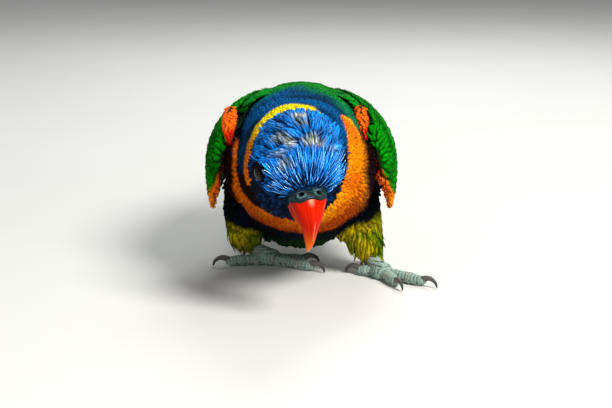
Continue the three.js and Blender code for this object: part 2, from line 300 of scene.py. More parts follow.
@dataclass
class Surface:
    """A closed triangle surface in design millimetres, with smooth normals."""

    points: Array
    faces: Array
    normals: Array

    @classmethod
    def of(cls, mesh: Mesh) -> "Surface":
        """Reads the surface of a Blender mesh.

        Args:
            mesh: the mesh, in metres.

        Returns:
            Its points, triangles and normals.
        """
        mesh.calc_loop_triangles()
        faces = np.empty(len(mesh.loop_triangles) * 3, np.int32)
        mesh.loop_triangles.foreach_get("vertices", faces)
        normals = np.empty(len(mesh.vertices) * 3, np.float32)
        mesh.vertex_normals.foreach_get("vector", normals)
        return cls(read_places(mesh), faces.reshape(-1, 3), normals.reshape(-1, 3).astype(float))

    @property
    def areas(self) -> Array:
        """The area of each triangle.

        Returns:
            Areas in square millimetres.
        """
        corners = self.points[self.faces]
        crossed = np.cross(corners[:, 1] - corners[:, 0], corners[:, 2] - corners[:, 0])
        return np.linalg.norm(crossed, axis=1) / 2

    def sprinkled(self, count: int, rng: Rng) -> tuple[Array, Array]:
        """Random points spread evenly by area.

        Args:
            count: how many points.
            rng: the seeded generator.

        Returns:
            The points and the smooth normals there.
        """
        areas = self.areas
        chosen = np.searchsorted(np.cumsum(areas), rng.random(count) * areas.sum())
        root, other = np.sqrt(rng.random(count)), rng.random(count)
        weights = np.stack([1 - root, root * (1 - other), root * other], axis=1)[..., None]
        corners, normals = self.points[self.faces[chosen]], self.normals[self.faces[chosen]]
        return (corners * weights).sum(1), unit((normals * weights).sum(1))


def linked(name: str, data: Any) -> Object:
    """Makes a new object in the scene.

    Args:
        name: its name.
        data: what it holds, such as a mesh.

    Returns:
        The object.
    """
    made = bpy.data.objects.new(name, data)
    bpy.context.scene.collection.objects.link(made)
    return made


def mesh_object(name: str, points: Array, faces: Sequence, smooth: bool = True) -> Object:
    """Makes a mesh and an object in the scene.

    Args:
        name: the name of both.
        points: design points.
        faces: the numbers of each face's points.
        smooth: whether the faces are shaded smooth.

    Returns:
        The object.
    """
    mesh = bpy.data.meshes.new(name)
    mesh.from_pydata(to_metres(points).tolist(), [], faces)
    mesh.polygons.foreach_set("use_smooth", [smooth] * len(mesh.polygons))
    return linked(name, mesh)


def bmesh_object(name: str, whole: bmesh.types.BMesh) -> Object:
    """An object in the scene from a bmesh, which is freed.

    Args:
        name: its name.
        whole: the finished bmesh.

    Returns:
        The object.
    """
    mesh = bpy.data.meshes.new(name)
    whole.to_mesh(mesh)
    whole.free()
    return linked(name, mesh)


def write_attributes(mesh: Mesh, kind: str, **columns: Array) -> None:
    """Stores one value for each point of a mesh under each name.

    Args:
        mesh: the mesh.
        kind: FLOAT, FLOAT_VECTOR or FLOAT_COLOR.
        columns: the values by name, colours as three numbers each.
    """
    key = {"FLOAT": "value", "FLOAT_VECTOR": "vector", "FLOAT_COLOR": "color"}[kind]
    for name, values in columns.items():
        layer = mesh.attributes.new(name, kind, "POINT")
        if kind == "FLOAT_COLOR":
            values = np.concatenate([values, np.ones((len(values), 1))], axis=1)
        layer.data.foreach_set(key, np.asarray(values, np.float32).ravel())


def read_attribute(mesh: Mesh, name: str) -> Array:
    """Reads the vectors stored on a mesh's points.

    Args:
        mesh: the mesh.
        name: the name they are stored under.

    Returns:
        One vector for each point.
    """
    found = np.empty(len(mesh.vertices) * 3, np.float32)
    mesh.attributes[name].data.foreach_get("vector", found)
    return found.reshape(-1, 3).astype(float)


def read_places(mesh: Mesh) -> Array:
    """Reads where a mesh's points are.

    Args:
        mesh: the mesh, in metres.

    Returns:
        The points in design millimetres.
    """
    points = np.empty(len(mesh.vertices) * 3, np.float32)
    mesh.vertices.foreach_get("co", points)
    return to_design(points.reshape(-1, 3).astype(float))


def write_places(mesh: Mesh, points: Array) -> None:
    """Moves a mesh's points to new design places."""
    mesh.vertices.foreach_set("co", to_metres(points).astype(np.float32).ravel())
    mesh.update()


def settled(made: Object) -> Object:
    """Turns an object's modifiers into its own plain mesh and removes them.

    Args:
        made: the object with its modifiers.

    Returns:
        The same object.
    """
    graph = bpy.context.evaluated_depsgraph_get()
    graph.update()
    mesh = bpy.data.meshes.new_from_object(
        made.evaluated_get(graph), preserve_all_data_layers=True, depsgraph=graph
    )
    made.modifiers.clear()
    made.data = mesh
    return made


def joined_nodes(name: str, nodes: Sequence[str], grow: float) -> Object:
    """One object from merged copies of frame nodes, each grown outwards.

    Args:
        name: the new object's name.
        nodes: the frame nodes to copy.
        grow: how far each grows, in millimetres, so that gaps between them close.

    Returns:
        The object, in metres like the nodes.
    """
    whole = bmesh.new()
    for node in nodes:
        part = bmesh.new()
        part.from_mesh(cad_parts[node].data)
        bmesh.ops.remove_doubles(part, verts=part.verts, dist=1e-6)
        part.normal_update()
        for vertex, normal in [(v, v.normal.copy()) for v in part.verts]:
            vertex.co += normal * grow * MM
        scratch = bpy.data.meshes.new("part")
        part.to_mesh(scratch)
        part.free()
        whole.from_mesh(scratch)
        bpy.data.meshes.remove(scratch)
    return bmesh_object(name, whole)


def relax(made: Object, rounds: int) -> None:
    """Adds a modifier that smooths an object.

    Args:
        made: the object.
        rounds: how many rounds of smoothing it does.
    """
    smooth = made.modifiers.new("Relax", "SMOOTH")
    smooth.factor = 0.5
    smooth.iterations = rounds


def remeshed(made: Object, voxel: float, smoothing: int) -> Object:
    """Fuses an object into one even skin.

    Args:
        made: the object to fuse.
        voxel: the size of a face, in millimetres.
        smoothing: how many rounds of smoothing follow.

    Returns:
        The same object with its new mesh.
    """
    fuse = made.modifiers.new("Fuse", "REMESH")
    fuse.mode = "VOXEL"
    fuse.voxel_size = voxel * MM
    fuse.use_smooth_shade = True
    relax(made, smoothing)
    return settled(made)


def loft(rings: Array) -> tuple[Array, list[tuple[int, ...]]]:
    """A closed body through rings of points, with its faces turned outwards.

    Args:
        rings: points as an array of rings, sides and coordinates.

    Returns:
        The points and the faces.
    """
    count, sides = rings.shape[:2]
    points = np.concatenate([rings.reshape(-1, 3), rings[[0, -1]].mean(1)])
    faces: list[tuple[int, ...]] = []
    for i in range(count - 1):
        for j in range(sides):
            a, b = i * sides + j, i * sides + (j + 1) % sides
            faces.append((a, b, b + sides, a + sides))
    last = (count - 1) * sides
    for first, middle, flip in ((0, count * sides, True), (last, count * sides + 1, False)):
        for j in range(sides):
            pair = (first + j, first + (j + 1) % sides)
            faces.append((middle, *(pair[::-1] if flip else pair)))
    volume = sum(
        float(np.dot(points[f[0]], np.cross(points[f[k]], points[f[k + 1]])))
        for f in faces
        for k in range(1, len(f) - 1)
    )
    return points, faces if volume > 0 else [face[::-1] for face in faces]


def tube(
    centres: Array, across: Array, over: Array, wide: Array, deep: Array, sides: int, fullness: float = 2
) -> Array:
    """Rings of oval sections along a line.

    Args:
        centres: the middle of each ring.
        across: the direction of each ring's width.
        over: the direction of each ring's depth.
        wide: half of each ring's width.
        deep: half of each ring's depth.
        sides: how many points a ring has.
        fullness: 2 for an ellipse, more for a fuller section.

    Returns:
        The rings as an array of rings, sides and coordinates.
    """
    angle = 2 * np.pi * np.arange(sides) / sides
    power = 2 / fullness
    x = np.sign(np.cos(angle)) * np.abs(np.cos(angle)) ** power
    y = np.sign(np.sin(angle)) * np.abs(np.sin(angle)) ** power
    sideways = across[:, None] * (np.asarray(wide)[:, None] * x)[..., None]
    upwards = over[:, None] * (np.asarray(deep)[:, None] * y)[..., None]
    return centres[:, None] + sideways + upwards


def dress(piece: Object, material: Material, replaced: Sequence[str] = ()) -> Object:
    """Gives a finished piece its material, hangs it on the body and hides the frame nodes it replaces.

    Args:
        piece: the finished piece.
        material: its finish.
        replaced: the frame nodes it stands for.

    Returns:
        The piece.
    """
    piece.data.materials.clear()
    piece.data.materials.append(material)
    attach(piece, BODY)
    if replaced:
        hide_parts(*replaced)
    LOG.info("%s: %d faces", piece.name, len(piece.data.polygons))
    return piece


class Sheaf:
    """Lofted bodies gathered into one mesh, with two measures on each of its points."""

    def __init__(self) -> None:
        """Starts with no bodies."""
        self.points: list[Array] = []
        self.faces: list[tuple[int, ...]] = []
        self.along: list[Array] = []
        self.beside: list[Array] = []

    def add(self, rings: Array, share: Array, edge: Array) -> tuple[Array, Array]:
        """Lofts one body.

        Args:
            rings: its rings of points.
            share: how far along each ring is.
            edge: the second measure, for each point of a ring.

        Returns:
            Both measures for each point of the body.
        """
        points, faces = loft(rings)
        start = sum(len(body) for body in self.points)
        self.points.append(points)
        self.faces += [tuple(i + start for i in face) for face in faces]
        self.along.append(np.concatenate([np.repeat(share, len(edge)), [0, 1]]))
        self.beside.append(np.concatenate([np.tile(edge, len(share)), [0, 0]]))
        return self.along[-1], self.beside[-1]

    def build(self, name: str, measure: str) -> Object:
        """One object from the bodies, whose second measure is stored under its own name.

        Args:
            name: its name.
            measure: the second measure's name.

        Returns:
            The object.
        """
        made = mesh_object(name, np.concatenate(self.points), self.faces)
        measures = {"along": np.concatenate(self.along), measure: np.concatenate(self.beside)}
        write_attributes(made.data, "FLOAT", **measures)
        return made


class Graph:
    """Adds and links nodes in one tree."""

    def __init__(self, tree: bpy.types.NodeTree) -> None:
        """Args: tree: the node tree to fill."""
        self.tree = tree

    def add(self, kind: str, inputs: dict[Any, Any] | None = None, **settings: Any) -> Node:
        """Adds a node.

        Args:
            kind: the node's type name.
            inputs: values, or sockets to link from, by input name or number.
            settings: the node's own settings.

        Returns:
            The node.
        """
        node = self.tree.nodes.new(kind)
        for name, value in settings.items():
            setattr(node, name, value)
        for key, value in (inputs or {}).items():
            sources = value if isinstance(value, list) else [value]
            for source in sources:
                if isinstance(source, bpy.types.NodeSocket):
                    self.tree.links.new(source, node.inputs[key])
                else:
                    node.inputs[key].default_value = source
        return node

    def math(self, operation: str, *values: Any) -> Socket:
        """A number from other numbers."""
        return self.add("ShaderNodeMath", dict(enumerate(values)), operation=operation).outputs[0]


class GeometryGraph(Graph):
    """A geometry tree with the few operations that the coat needs."""

    def named(self, name: str, kind: str = "FLOAT_VECTOR") -> Socket:
        """A field that reads a stored attribute."""
        return self.add("GeometryNodeInputNamedAttribute", {"Name": name}, data_type=kind).outputs[0]

    def vector(self, operation: str, *values: Any) -> Socket:
        """A vector from other vectors."""
        return self.add("ShaderNodeVectorMath", dict(enumerate(values)), operation=operation).outputs[0]

    def dot(self, first: Socket, second: Socket) -> Socket:
        """The dot product of two vectors."""
        made = self.add("ShaderNodeVectorMath", {0: first, 1: second}, operation="DOT_PRODUCT")
        return made.outputs["Value"]

    def scaled(self, vector: Socket, factor: Socket) -> Socket:
        """A vector times a number."""
        made = self.add("ShaderNodeVectorMath", {0: vector, "Scale": factor}, operation="SCALE")
        return made.outputs[0]

    def parts(self, vector: Socket) -> list[Socket]:
        """A vector's three numbers."""
        return list(self.add("ShaderNodeSeparateXYZ", {0: vector}).outputs)


@dataclass(frozen=True)
class Vane:
    """One feather's outline: half widths at stations along it, with a notched edge."""

    stations: tuple[float, ...] = (0.0, 0.16, 0.34, 0.52, 0.7, 0.86, 0.97)
    widths: tuple[float, ...] = (0.14, 0.55, 0.86, 1.0, 0.96, 0.7, 0.16)
    notch: float = 0.08
    slant: float = 0.05

    def build(self, name: str, seed: int) -> Object:
        """A closed thin vane from 0 to 1 along Y, with its place stored on its points.

        Args:
            name: its name.
            seed: picks the ragged edge.

        Returns:
            The vane, which is not in the scene.
        """
        rng = np.random.default_rng(seed)
        rows, along, across, rise = [], [], [], []
        for at, width in zip(self.stations, self.widths):
            left, right = width * (1 - self.notch * rng.random(2))
            slip = self.slant * (rng.random(2) - 0.5) * (0 < at < 1)
            rows += [(-left / 2, at + slip[0], 0), (0, at + width * 0.02, 0)]
            rows += [(right / 2, at + slip[1], 0), (0, at, 0)]
            along += [at] * 4
            across += [-left, 0, right, 0]
            rise += [0, 1, 0, -1]
        _, faces = loft(np.array(rows).reshape(-1, 4, 3) + self._lens(rise))
        ends = [self.stations[0], self.stations[-1]]
        mesh = bpy.data.meshes.new(name)
        flat = np.array(rows + [(0, end, 0) for end in ends])
        mesh.from_pydata(flat.tolist(), [], faces)
        mesh.polygons.foreach_set("use_smooth", [True] * len(mesh.polygons))
        write_attributes(mesh, "FLOAT", along=along + ends, across=across + [0, 0], rise=rise + [0, 0])
        return bpy.data.objects.new(name, mesh)

    def trio(self, name: str, seed: int) -> list[Object]:
        """Three of these vanes, each with its own ragged edge."""
        return [self.build(f"{name}_{number}", seed + number) for number in range(3)]

    @staticmethod
    def _lens(rise: Sequence[int]) -> Array:
        """A small thickness that only tells the loft which way is out."""
        return np.array([(0, 0, r * 0.01) for r in rise]).reshape(-1, 4, 3)


@dataclass(frozen=True)
class CoatTree:
    """The geometry tree that lays vanes over a surface from their roots."""

    name: str = "lay_vanes"

    def build(self) -> bpy.types.NodeTree:
        """Makes the tree.

        Returns:
            The tree.
        """
        tree = bpy.data.node_groups.new(self.name, "GeometryNodeTree")
        sockets = (
            ("Roots", "NodeSocketGeometry"),
            ("Vane A", "NodeSocketObject"),
            ("Vane B", "NodeSocketObject"),
            ("Vane C", "NodeSocketObject"),
            ("Surface", "NodeSocketObject"),
            ("Finish", "NodeSocketMaterial"),
            ("Camber", "NodeSocketFloat"),
            ("Seed", "NodeSocketInt"),
        )
        for label, kind in sockets:
            tree.interface.new_socket(label, in_out="INPUT", socket_type=kind)
        tree.interface.new_socket("Coat", in_out="OUTPUT", socket_type="NodeSocketGeometry")
        g = GeometryGraph(tree)
        given = g.add("NodeGroupInput").outputs
        laid = self._placed(g, given)
        shaped = self._shaped(g, given, laid)
        coloured = g.add(
            "GeometryNodeStoreNamedAttribute",
            {"Geometry": shaped, "Name": "OFBake", "Value": self._patch(g)},
            data_type="FLOAT2",
            domain="CORNER",
        ).outputs[0]
        finished = g.add("GeometryNodeSetMaterial", {"Geometry": coloured, "Material": given["Finish"]})
        g.add("NodeGroupOutput", {0: finished.outputs[0]})
        return tree

    def _placed(self, g: GeometryGraph, given: Any) -> Socket:
        """Vanes set flat at their roots, turned along the lay and realized.

        Args:
            g: the tree to add to.
            given: the tree's own inputs.

        Returns:
            The vanes.
        """
        chosen = [g.add("GeometryNodeObjectInfo", {"Object": given[f"Vane {k}"]}) for k in "ABC"]
        vanes = [node.outputs["Geometry"] for node in chosen]
        choice = g.add("GeometryNodeGeometryToInstance", {0: vanes}).outputs[0]
        pick = g.add("FunctionNodeRandomValue", {4: 0, 5: 2, "Seed": given["Seed"]}, data_type="INT")
        turn = g.add(
            "FunctionNodeAxesToRotation",
            {0: g.named("up"), 1: g.named("lay")},
            primary_axis="Z",
            secondary_axis="Y",
        )
        placed = g.add(
            "GeometryNodeInstanceOnPoints",
            {
                "Points": given["Roots"],
                "Instance": choice,
                "Pick Instance": True,
                "Instance Index": pick.outputs[2],
                "Rotation": turn.outputs[0],
                "Scale": g.named("size"),
            },
        )
        return g.add("GeometryNodeRealizeInstances", {0: placed.outputs[0]}).outputs[0]

    def _shaped(self, g: GeometryGraph, given: Any, laid: Socket) -> Socket:
        """Vanes bent to the surface, each rising from its root to the coat's height.

        Args:
            g: the tree to add to.
            given: the tree's own inputs.
            laid: the vanes, set flat at their roots.

        Returns:
            The bent vanes.
        """
        surface = g.add("GeometryNodeObjectInfo", {"Object": given["Surface"]}).outputs["Geometry"]
        place = g.add("GeometryNodeInputPosition").outputs[0]
        nearest = [
            g.add(
                "GeometryNodeSampleNearestSurface",
                {"Mesh": surface, "Value": field_, "Sample Position": place},
                data_type="FLOAT_VECTOR",
            ).outputs[0]
            for field_ in (place, g.named("smooth_up"))
        ]
        foot, up = nearest[0], g.vector("NORMALIZE", nearest[1])
        off = g.vector("SUBTRACT", place, foot)
        lay = g.named("lay")
        outside = g.math("GREATER_THAN", g.dot(off, up), 0.0)
        slip = g.math("MULTIPLY", g.math("MAXIMUM", g.dot(off, lay), 0.0), outside)
        base = g.vector("ADD", foot, g.scaled(lay, slip))
        along = g.named("along", "FLOAT")
        across = g.named("across", "FLOAT")
        low, high, curl = g.parts(g.named("stand"))
        width, _, thick = g.parts(g.named("size"))
        height = g.math("ADD", low, g.math("MULTIPLY", g.math("SUBTRACT", high, low), along))
        height = g.math("ADD", height, g.math("MULTIPLY", curl, g.math("POWER", along, 3.0)))
        height = g.math("ADD", height, g.math("MULTIPLY", thick, g.named("rise", "FLOAT")))
        hollow = g.math("MULTIPLY", width, given["Camber"])
        hollow = g.math("MULTIPLY", g.math("MULTIPLY", across, across), hollow)
        height = g.math("MAXIMUM", g.math("SUBTRACT", height, hollow), -0.0004)
        moved = g.vector("ADD", base, g.scaled(up, height))
        return g.add("GeometryNodeSetPosition", {"Geometry": laid, "Position": moved}).outputs[0]

    def _patch(self, g: GeometryGraph) -> Socket:
        """Each vane's own small patch at its root's place on the skin's unwrap.

        Args:
            g: the tree to add to.

        Returns:
            Places on the unwrap.
        """
        sideways = g.math("MULTIPLY", g.named("across", "FLOAT"), TUFT_PATCH / 2)
        forward = g.math("MULTIPLY", g.named("along", "FLOAT"), TUFT_PATCH)
        corner = g.add("ShaderNodeCombineXYZ", {0: sideways, 1: forward}).outputs[0]
        return g.vector("ADD", g.named("root_uv"), corner)


@dataclass(frozen=True)
class Finish:
    """A procedural material with the operations that every finish shares."""

    name: str
    roughness: float = 0.5
    specular: float = 0.4

    def build(self) -> Material:
        """Makes the material, whose colour and bump the kind of finish paints.

        Returns:
            The material.
        """
        made = bpy.data.materials.new(self.name)
        made.use_nodes = True
        made.node_tree.nodes.clear()
        g = ShaderGraph(made.node_tree)
        look = {"Roughness": self.roughness, "Specular IOR Level": self.specular}
        shader = g.add("ShaderNodeBsdfPrincipled", look)
        self.paint(g, shader)
        g.add("ShaderNodeOutputMaterial", {"Surface": shader.outputs[0]})
        return made

    def paint(self, g: "ShaderGraph", shader: Node) -> None:
        """Links the finish's own colour, gloss and bump."""
        raise NotImplementedError


class ShaderGraph(Graph):
    """A material tree with the operations that the finishes need."""

    def number(self, name: str) -> Socket:
        """A stored number."""
        return self.add("ShaderNodeAttribute", attribute_name=name).outputs["Fac"]

    def stored(self, name: str) -> Socket:
        """A stored colour."""
        return self.add("ShaderNodeAttribute", attribute_name=name).outputs["Color"]

    def place(self) -> Socket:
        """Object coordinates, in metres."""
        return self.add("ShaderNodeTexCoord").outputs["Object"]

    def step(
        self, value: Socket, low: float, high: float, start: float = 0.0, end: float = 1.0
    ) -> Socket:
        """A soft step of a value between two limits, mapped to start and end.

        Args:
            value: the value.
            low: where the step starts.
            high: where the step ends.
            start: the result below the step.
            end: the result above it.

        Returns:
            The stepped value.
        """
        return self.add(
            "ShaderNodeMapRange",
            {"Value": value, "From Min": low, "From Max": high, "To Min": start, "To Max": end},
            interpolation_type="SMOOTHSTEP",
        ).outputs[0]

    def noise(self, grain: float, detail: float = 2.0, source: Socket | None = None) -> Socket:
        """Noise whose patches are grain millimetres across."""
        inputs = {"Vector": source or self.place(), "Scale": 1 / (grain * MM), "Detail": detail}
        return self.add("ShaderNodeTexNoise", inputs).outputs[0]

    def mix(self, first: Any, second: Any, share: Any, way: str = "MIX") -> Socket:
        """One colour mixed into another by a share.

        Args:
            first: a colour.
            second: another colour.
            share: how much of the second.
            way: how they mix.

        Returns:
            The mixed colour.
        """
        return self.add(
            "ShaderNodeMix", {0: share, 6: first, 7: second}, data_type="RGBA", blend_type=way
        ).outputs[2]

    def shaded(self, colour: Socket, factor: Socket) -> Socket:
        """A colour made lighter or darker by a number."""
        grey = self.add("ShaderNodeCombineColor", {0: factor, 1: factor, 2: factor}).outputs[0]
        return self.mix(colour, grey, 1.0, "MULTIPLY")

    def feed(self, shader: Node, name: str, source: Socket) -> None:
        """Links a socket to one of a shader's inputs."""
        self.tree.links.new(source, shader.inputs[name])

    def bump(self, shader: Node, height: Socket, depth: float, strength: float = 1.0) -> None:
        """Links a height of depth millimetres to a shader's normal."""
        inputs = {"Height": height, "Distance": depth * MM, "Strength": strength}
        self.feed(shader, "Normal", self.add("ShaderNodeBump", inputs).outputs[0])


@dataclass(frozen=True)
class Plumage(Finish):
    """Feather vanes: barbs, a shaft, and a rim and root darkened partly as painted shade."""

    barbs: float = 16.0
    barb_depth: float = 0.16
    shaft: float = 0.25
    root_shade: float = 0.45
    mottle: float = 0.3
    rim_from: float = 0.62
    relief: float = 0.6

    def paint(self, g: ShaderGraph, shader: Node) -> None:
        """Colours each vane from its stored tint and rim.

        Args:
            g: the tree to add to.
            shader: the node to feed.
        """
        along, across = g.number("along"), g.math("ABSOLUTE", g.number("across"))
        barb = g.math("MULTIPLY_ADD", across, self.barbs * 0.55, g.math("MULTIPLY", along, -self.barbs))
        barb = g.math("SINE", g.math("MULTIPLY", barb, 2 * math.pi))
        mottle = g.noise(0.9, 3.0)
        tone = g.math("MULTIPLY_ADD", barb, self.barb_depth, 1.0)
        tone = g.math("MULTIPLY", tone, g.step(mottle, 0.25, 0.75, 1 - self.mottle, 1 + self.mottle))
        # Darker roots and rims: partly the feathers' own dusky bases and margins, partly painted shade
        # where they overlap.
        tone = g.math("MULTIPLY", tone, g.step(along, 0.15, 0.5, self.root_shade, 1.0))
        edge = g.math("MAXIMUM", g.step(across, self.rim_from, 1.0), g.step(along, 0.8, 1.0, 0.0, 0.9))
        colour = g.mix(g.stored("tint"), g.stored("rim"), edge)
        # The shaft mixes towards the stored shaft colour, which on the hood holds a painted glint.
        quill = g.math("MULTIPLY", g.step(across, 0.22, 0.04), self.shaft)
        colour = g.mix(g.shaded(colour, tone), g.stored("gleam"), quill)
        g.feed(shader, "Base Color", colour)
        ridge = g.math("ADD", g.math("MULTIPLY", barb, 0.5), g.step(across, 0.25, 0.0, 0.0, 1.5))
        g.bump(shader, ridge, 0.05, self.relief)


@dataclass(frozen=True)
class BareSkin(Finish):
    """Skin under the coat: the coat's markings darkened as painted shade, with fine pores and folds."""

    def paint(self, g: ShaderGraph, shader: Node) -> None:
        """Colours the skin from its stored tint.

        Args:
            g: the tree to add to.
            shader: the node to feed.
        """
        pores = g.noise(0.5, 4.0)
        folds = g.noise(3.0, 2.0)
        tone = g.math("MULTIPLY", g.step(pores, 0.3, 0.7, 0.7, 1.1), g.step(folds, 0.3, 0.7, 0.75, 1.1))
        g.feed(shader, "Base Color", g.shaded(g.stored("tint"), tone))
        g.bump(shader, g.math("ADD", pores, folds), 0.2)


@dataclass(frozen=True)
class Horn(Finish):
    """Bill horn: one colour at the base turning to another at the tip, with growth lines and painted
    highlights.
    """

    base: Colour = (214, 26, 0)
    tip: Colour = (250, 126, 0)
    shade: Colour = (130, 10, 0)
    light: Colour = (240, 80, 6)
    pale_and_highlight: Colour = (255, 190, 150)
    turns_at: tuple[float, float] = (0.4, 0.97)

    def paint(self, g: ShaderGraph, shader: Node) -> None:
        """Colours the horn along its length.

        Args:
            g: the tree to add to.
            shader: the node to feed.
        """
        along, around = g.number("along"), g.number("around")
        grain = g.add("ShaderNodeCombineXYZ", {0: g.math("MULTIPLY", around, 5.0), 1: along}).outputs[0]
        streaks = g.add("ShaderNodeTexNoise", {"Vector": grain, "Scale": 1.6, "Detail": 4.0}).outputs[0]
        colour = g.mix(rgba(self.base), rgba(self.tip), g.step(along, *self.turns_at))
        side = g.math("ABSOLUTE", around)
        layers = (
            (self.shade, g.step(streaks, 0.5, 0.75, 0.0, 0.4)),
            (self.light, g.step(streaks, 0.48, 0.3, 0.0, 0.5)),
            (self.shade, g.step(side, 0.65, 1.0, 0.0, 0.45)),
            (self.shade, g.step(along, 0.1, 0.0, 0.0, 0.35)),
        )
        for tone, share in layers:
            colour = g.mix(colour, rgba(tone), share)
        # Painted highlight at the top of the base; the pale streak along the ridge is partly a growth
        # streak, partly a painted highlight.
        top_highlight = g.math("MULTIPLY", g.step(side, 0.2, 0.0), g.step(along, 0.13, 0.02, 0.0, 0.6))
        crest = g.step(g.math("ABSOLUTE", g.math("SUBTRACT", around, 0.16)), 0.07, 0.01, 0.0, 0.4)
        middle = g.math("ABSOLUTE", g.math("SUBTRACT", along, 0.5))
        crest = g.math("MULTIPLY", crest, g.step(middle, 0.22, 0.1))
        colour = g.mix(colour, rgba(self.pale_and_highlight), g.math("MAXIMUM", top_highlight, crest))
        g.feed(shader, "Base Color", colour)
        rings = g.math("SINE", g.math("MULTIPLY_ADD", along, 130.0, g.math("MULTIPLY", streaks, 9.0)))
        scuffs = g.noise(0.35, 3.0)
        gloss = g.step(scuffs, 0.3, 0.75, self.roughness - 0.05, self.roughness + 0.12)
        g.feed(shader, "Roughness", gloss)
        g.bump(shader, g.math("MULTIPLY_ADD", rings, 0.25, scuffs), 0.035, 0.7)


@dataclass(frozen=True)
class Leather(Finish):
    """Bare hide of cere, lids and feet: grooves darker than the swells between them as painted shade."""

    swell: Colour = (126, 136, 140)
    groove: Colour = (40, 44, 46)
    pale_and_highlight: Colour = (150, 132, 120)
    blotch: float = 0.7
    grain: float = 0.45

    def paint(self, g: ShaderGraph, shader: Node) -> None:
        """Colours the hide from its stored groove depth and noise.

        Args:
            g: the tree to add to.
            shader: the node to feed.
        """
        depth = g.number("groove")
        grain = g.noise(self.grain, 4.0)
        patches = g.noise(3.5, 2.0)
        colour = g.mix(rgba(self.swell), rgba(self.pale_and_highlight), g.step(patches, 0.45, 0.75, 0.0, self.blotch))
        colour = g.mix(colour, rgba(self.groove), g.step(grain, 0.45, 0.7, 0.0, 0.45))
        # Painted shade in grooves, folds and pits; painted highlight on raised rims, where depth is below
        # zero.
        colour = g.mix(colour, rgba(self.groove), g.step(depth, 0.1, 0.9))
        colour = g.mix(colour, rgba(self.pale_and_highlight), g.step(depth, 0.0, -1.0, 0.0, 0.9))
        g.feed(shader, "Base Color", colour)
        gloss = g.step(grain, 0.3, 0.7, self.roughness - 0.1, self.roughness + 0.15)
        g.feed(shader, "Roughness", gloss)
        g.bump(shader, g.math("SUBTRACT", grain, depth), 0.12, 0.8)


@dataclass(frozen=True)
class EyeSurface(Finish):
    """A wet eye: black pupil, red-brown iris with fine rays and a dark rim."""

    pupil: float = 0.36
    iris: float = 0.6
    ring: Colour = (66, 18, 8)
    deep: Colour = (40, 10, 6)
    black: Colour = (4, 4, 5)

    def paint(self, g: ShaderGraph, shader: Node) -> None:
        """Colours the eye by the angle from its axis, in radians.

        Args:
            g: the tree to add to.
            shader: the node to feed.
        """
        polar = g.number("polar")
        rays = g.noise(0.35, 4.0)
        iris = g.mix(rgba(self.ring), rgba(self.deep), g.step(rays, 0.35, 0.7))
        iris = g.mix(iris, rgba(self.deep), g.step(polar, self.iris - 0.12, self.iris, 0.0, 0.85))
        black = rgba(self.black)
        colour = g.mix(black, iris, g.step(polar, self.pupil - 0.03, self.pupil + 0.02))
        colour = g.mix(colour, black, g.step(polar, self.iris, self.iris + 0.08))
        g.feed(shader, "Base Color", colour)


@dataclass(frozen=True)
class Floor(Finish):
    """A plain pale studio floor with a very slight unevenness."""

    pale: Colour = (226, 226, 222)
    dim: Colour = (218, 218, 214)

    def paint(self, g: ShaderGraph, shader: Node) -> None:
        """Colours the floor."""
        patches = g.noise(120.0, 3.0)
        g.feed(shader, "Base Color", g.mix(rgba(self.pale), rgba(self.dim), patches))


@dataclass(frozen=True)
class HeadShape:
    """The feathered head's ellipsoid, in the head's own frame."""

    front: float = 17.2
    back: float = 18.2
    half: float = 16.7
    crown: float = 15.6
    throat: float = 15.4
    bill_root: Point = (0.0, -15.5, 0.5)

    def from_bill(self, local: Array) -> tuple[Array, Array]:
        """Distances of head-frame places from the bill's root, and the directions from it."""
        off = local - np.array(self.bill_root)
        return np.linalg.norm(off, axis=1), unit(off)

    def reach(self, points: Array) -> Array:
        """How far out head-frame points are, as a share of the head's surface.

        Args:
            points: places in the head's frame.

        Returns:
            One share for each.
        """
        x, y, z = points.T
        deep = np.where(y < 0, self.front, self.back)
        high = np.where(z > 0, self.crown, self.throat)
        return np.sqrt((x / self.half) ** 2 + (y / deep) ** 2 + (z / high) ** 2)


HEAD = HeadShape()


@dataclass(frozen=True)
class Parting:
    """A place on the crown where feathers part over pale down, some with no rays over them."""

    at: Point
    size: tuple[float, float]
    pale: float
    open_ahead: bool = False


@dataclass(frozen=True)
class Leg:
    """The joints of one leg, with X as a distance from the body's middle."""

    side: float
    hip: Point
    knee: Point
    ankle: Point
    pad: tuple[float, float]
    turn: float


LEGS = {
    "right": Leg(-1.0, (18.5, 6, 36), (20.5, 7, 24), (22, 10, 9.5), (12, 11), 74.0),
    "left": Leg(1.0, (18.5, 4, 36), (21, 2, 23), (25, 0, 8.5), (31.5, -8), -40.0),
}


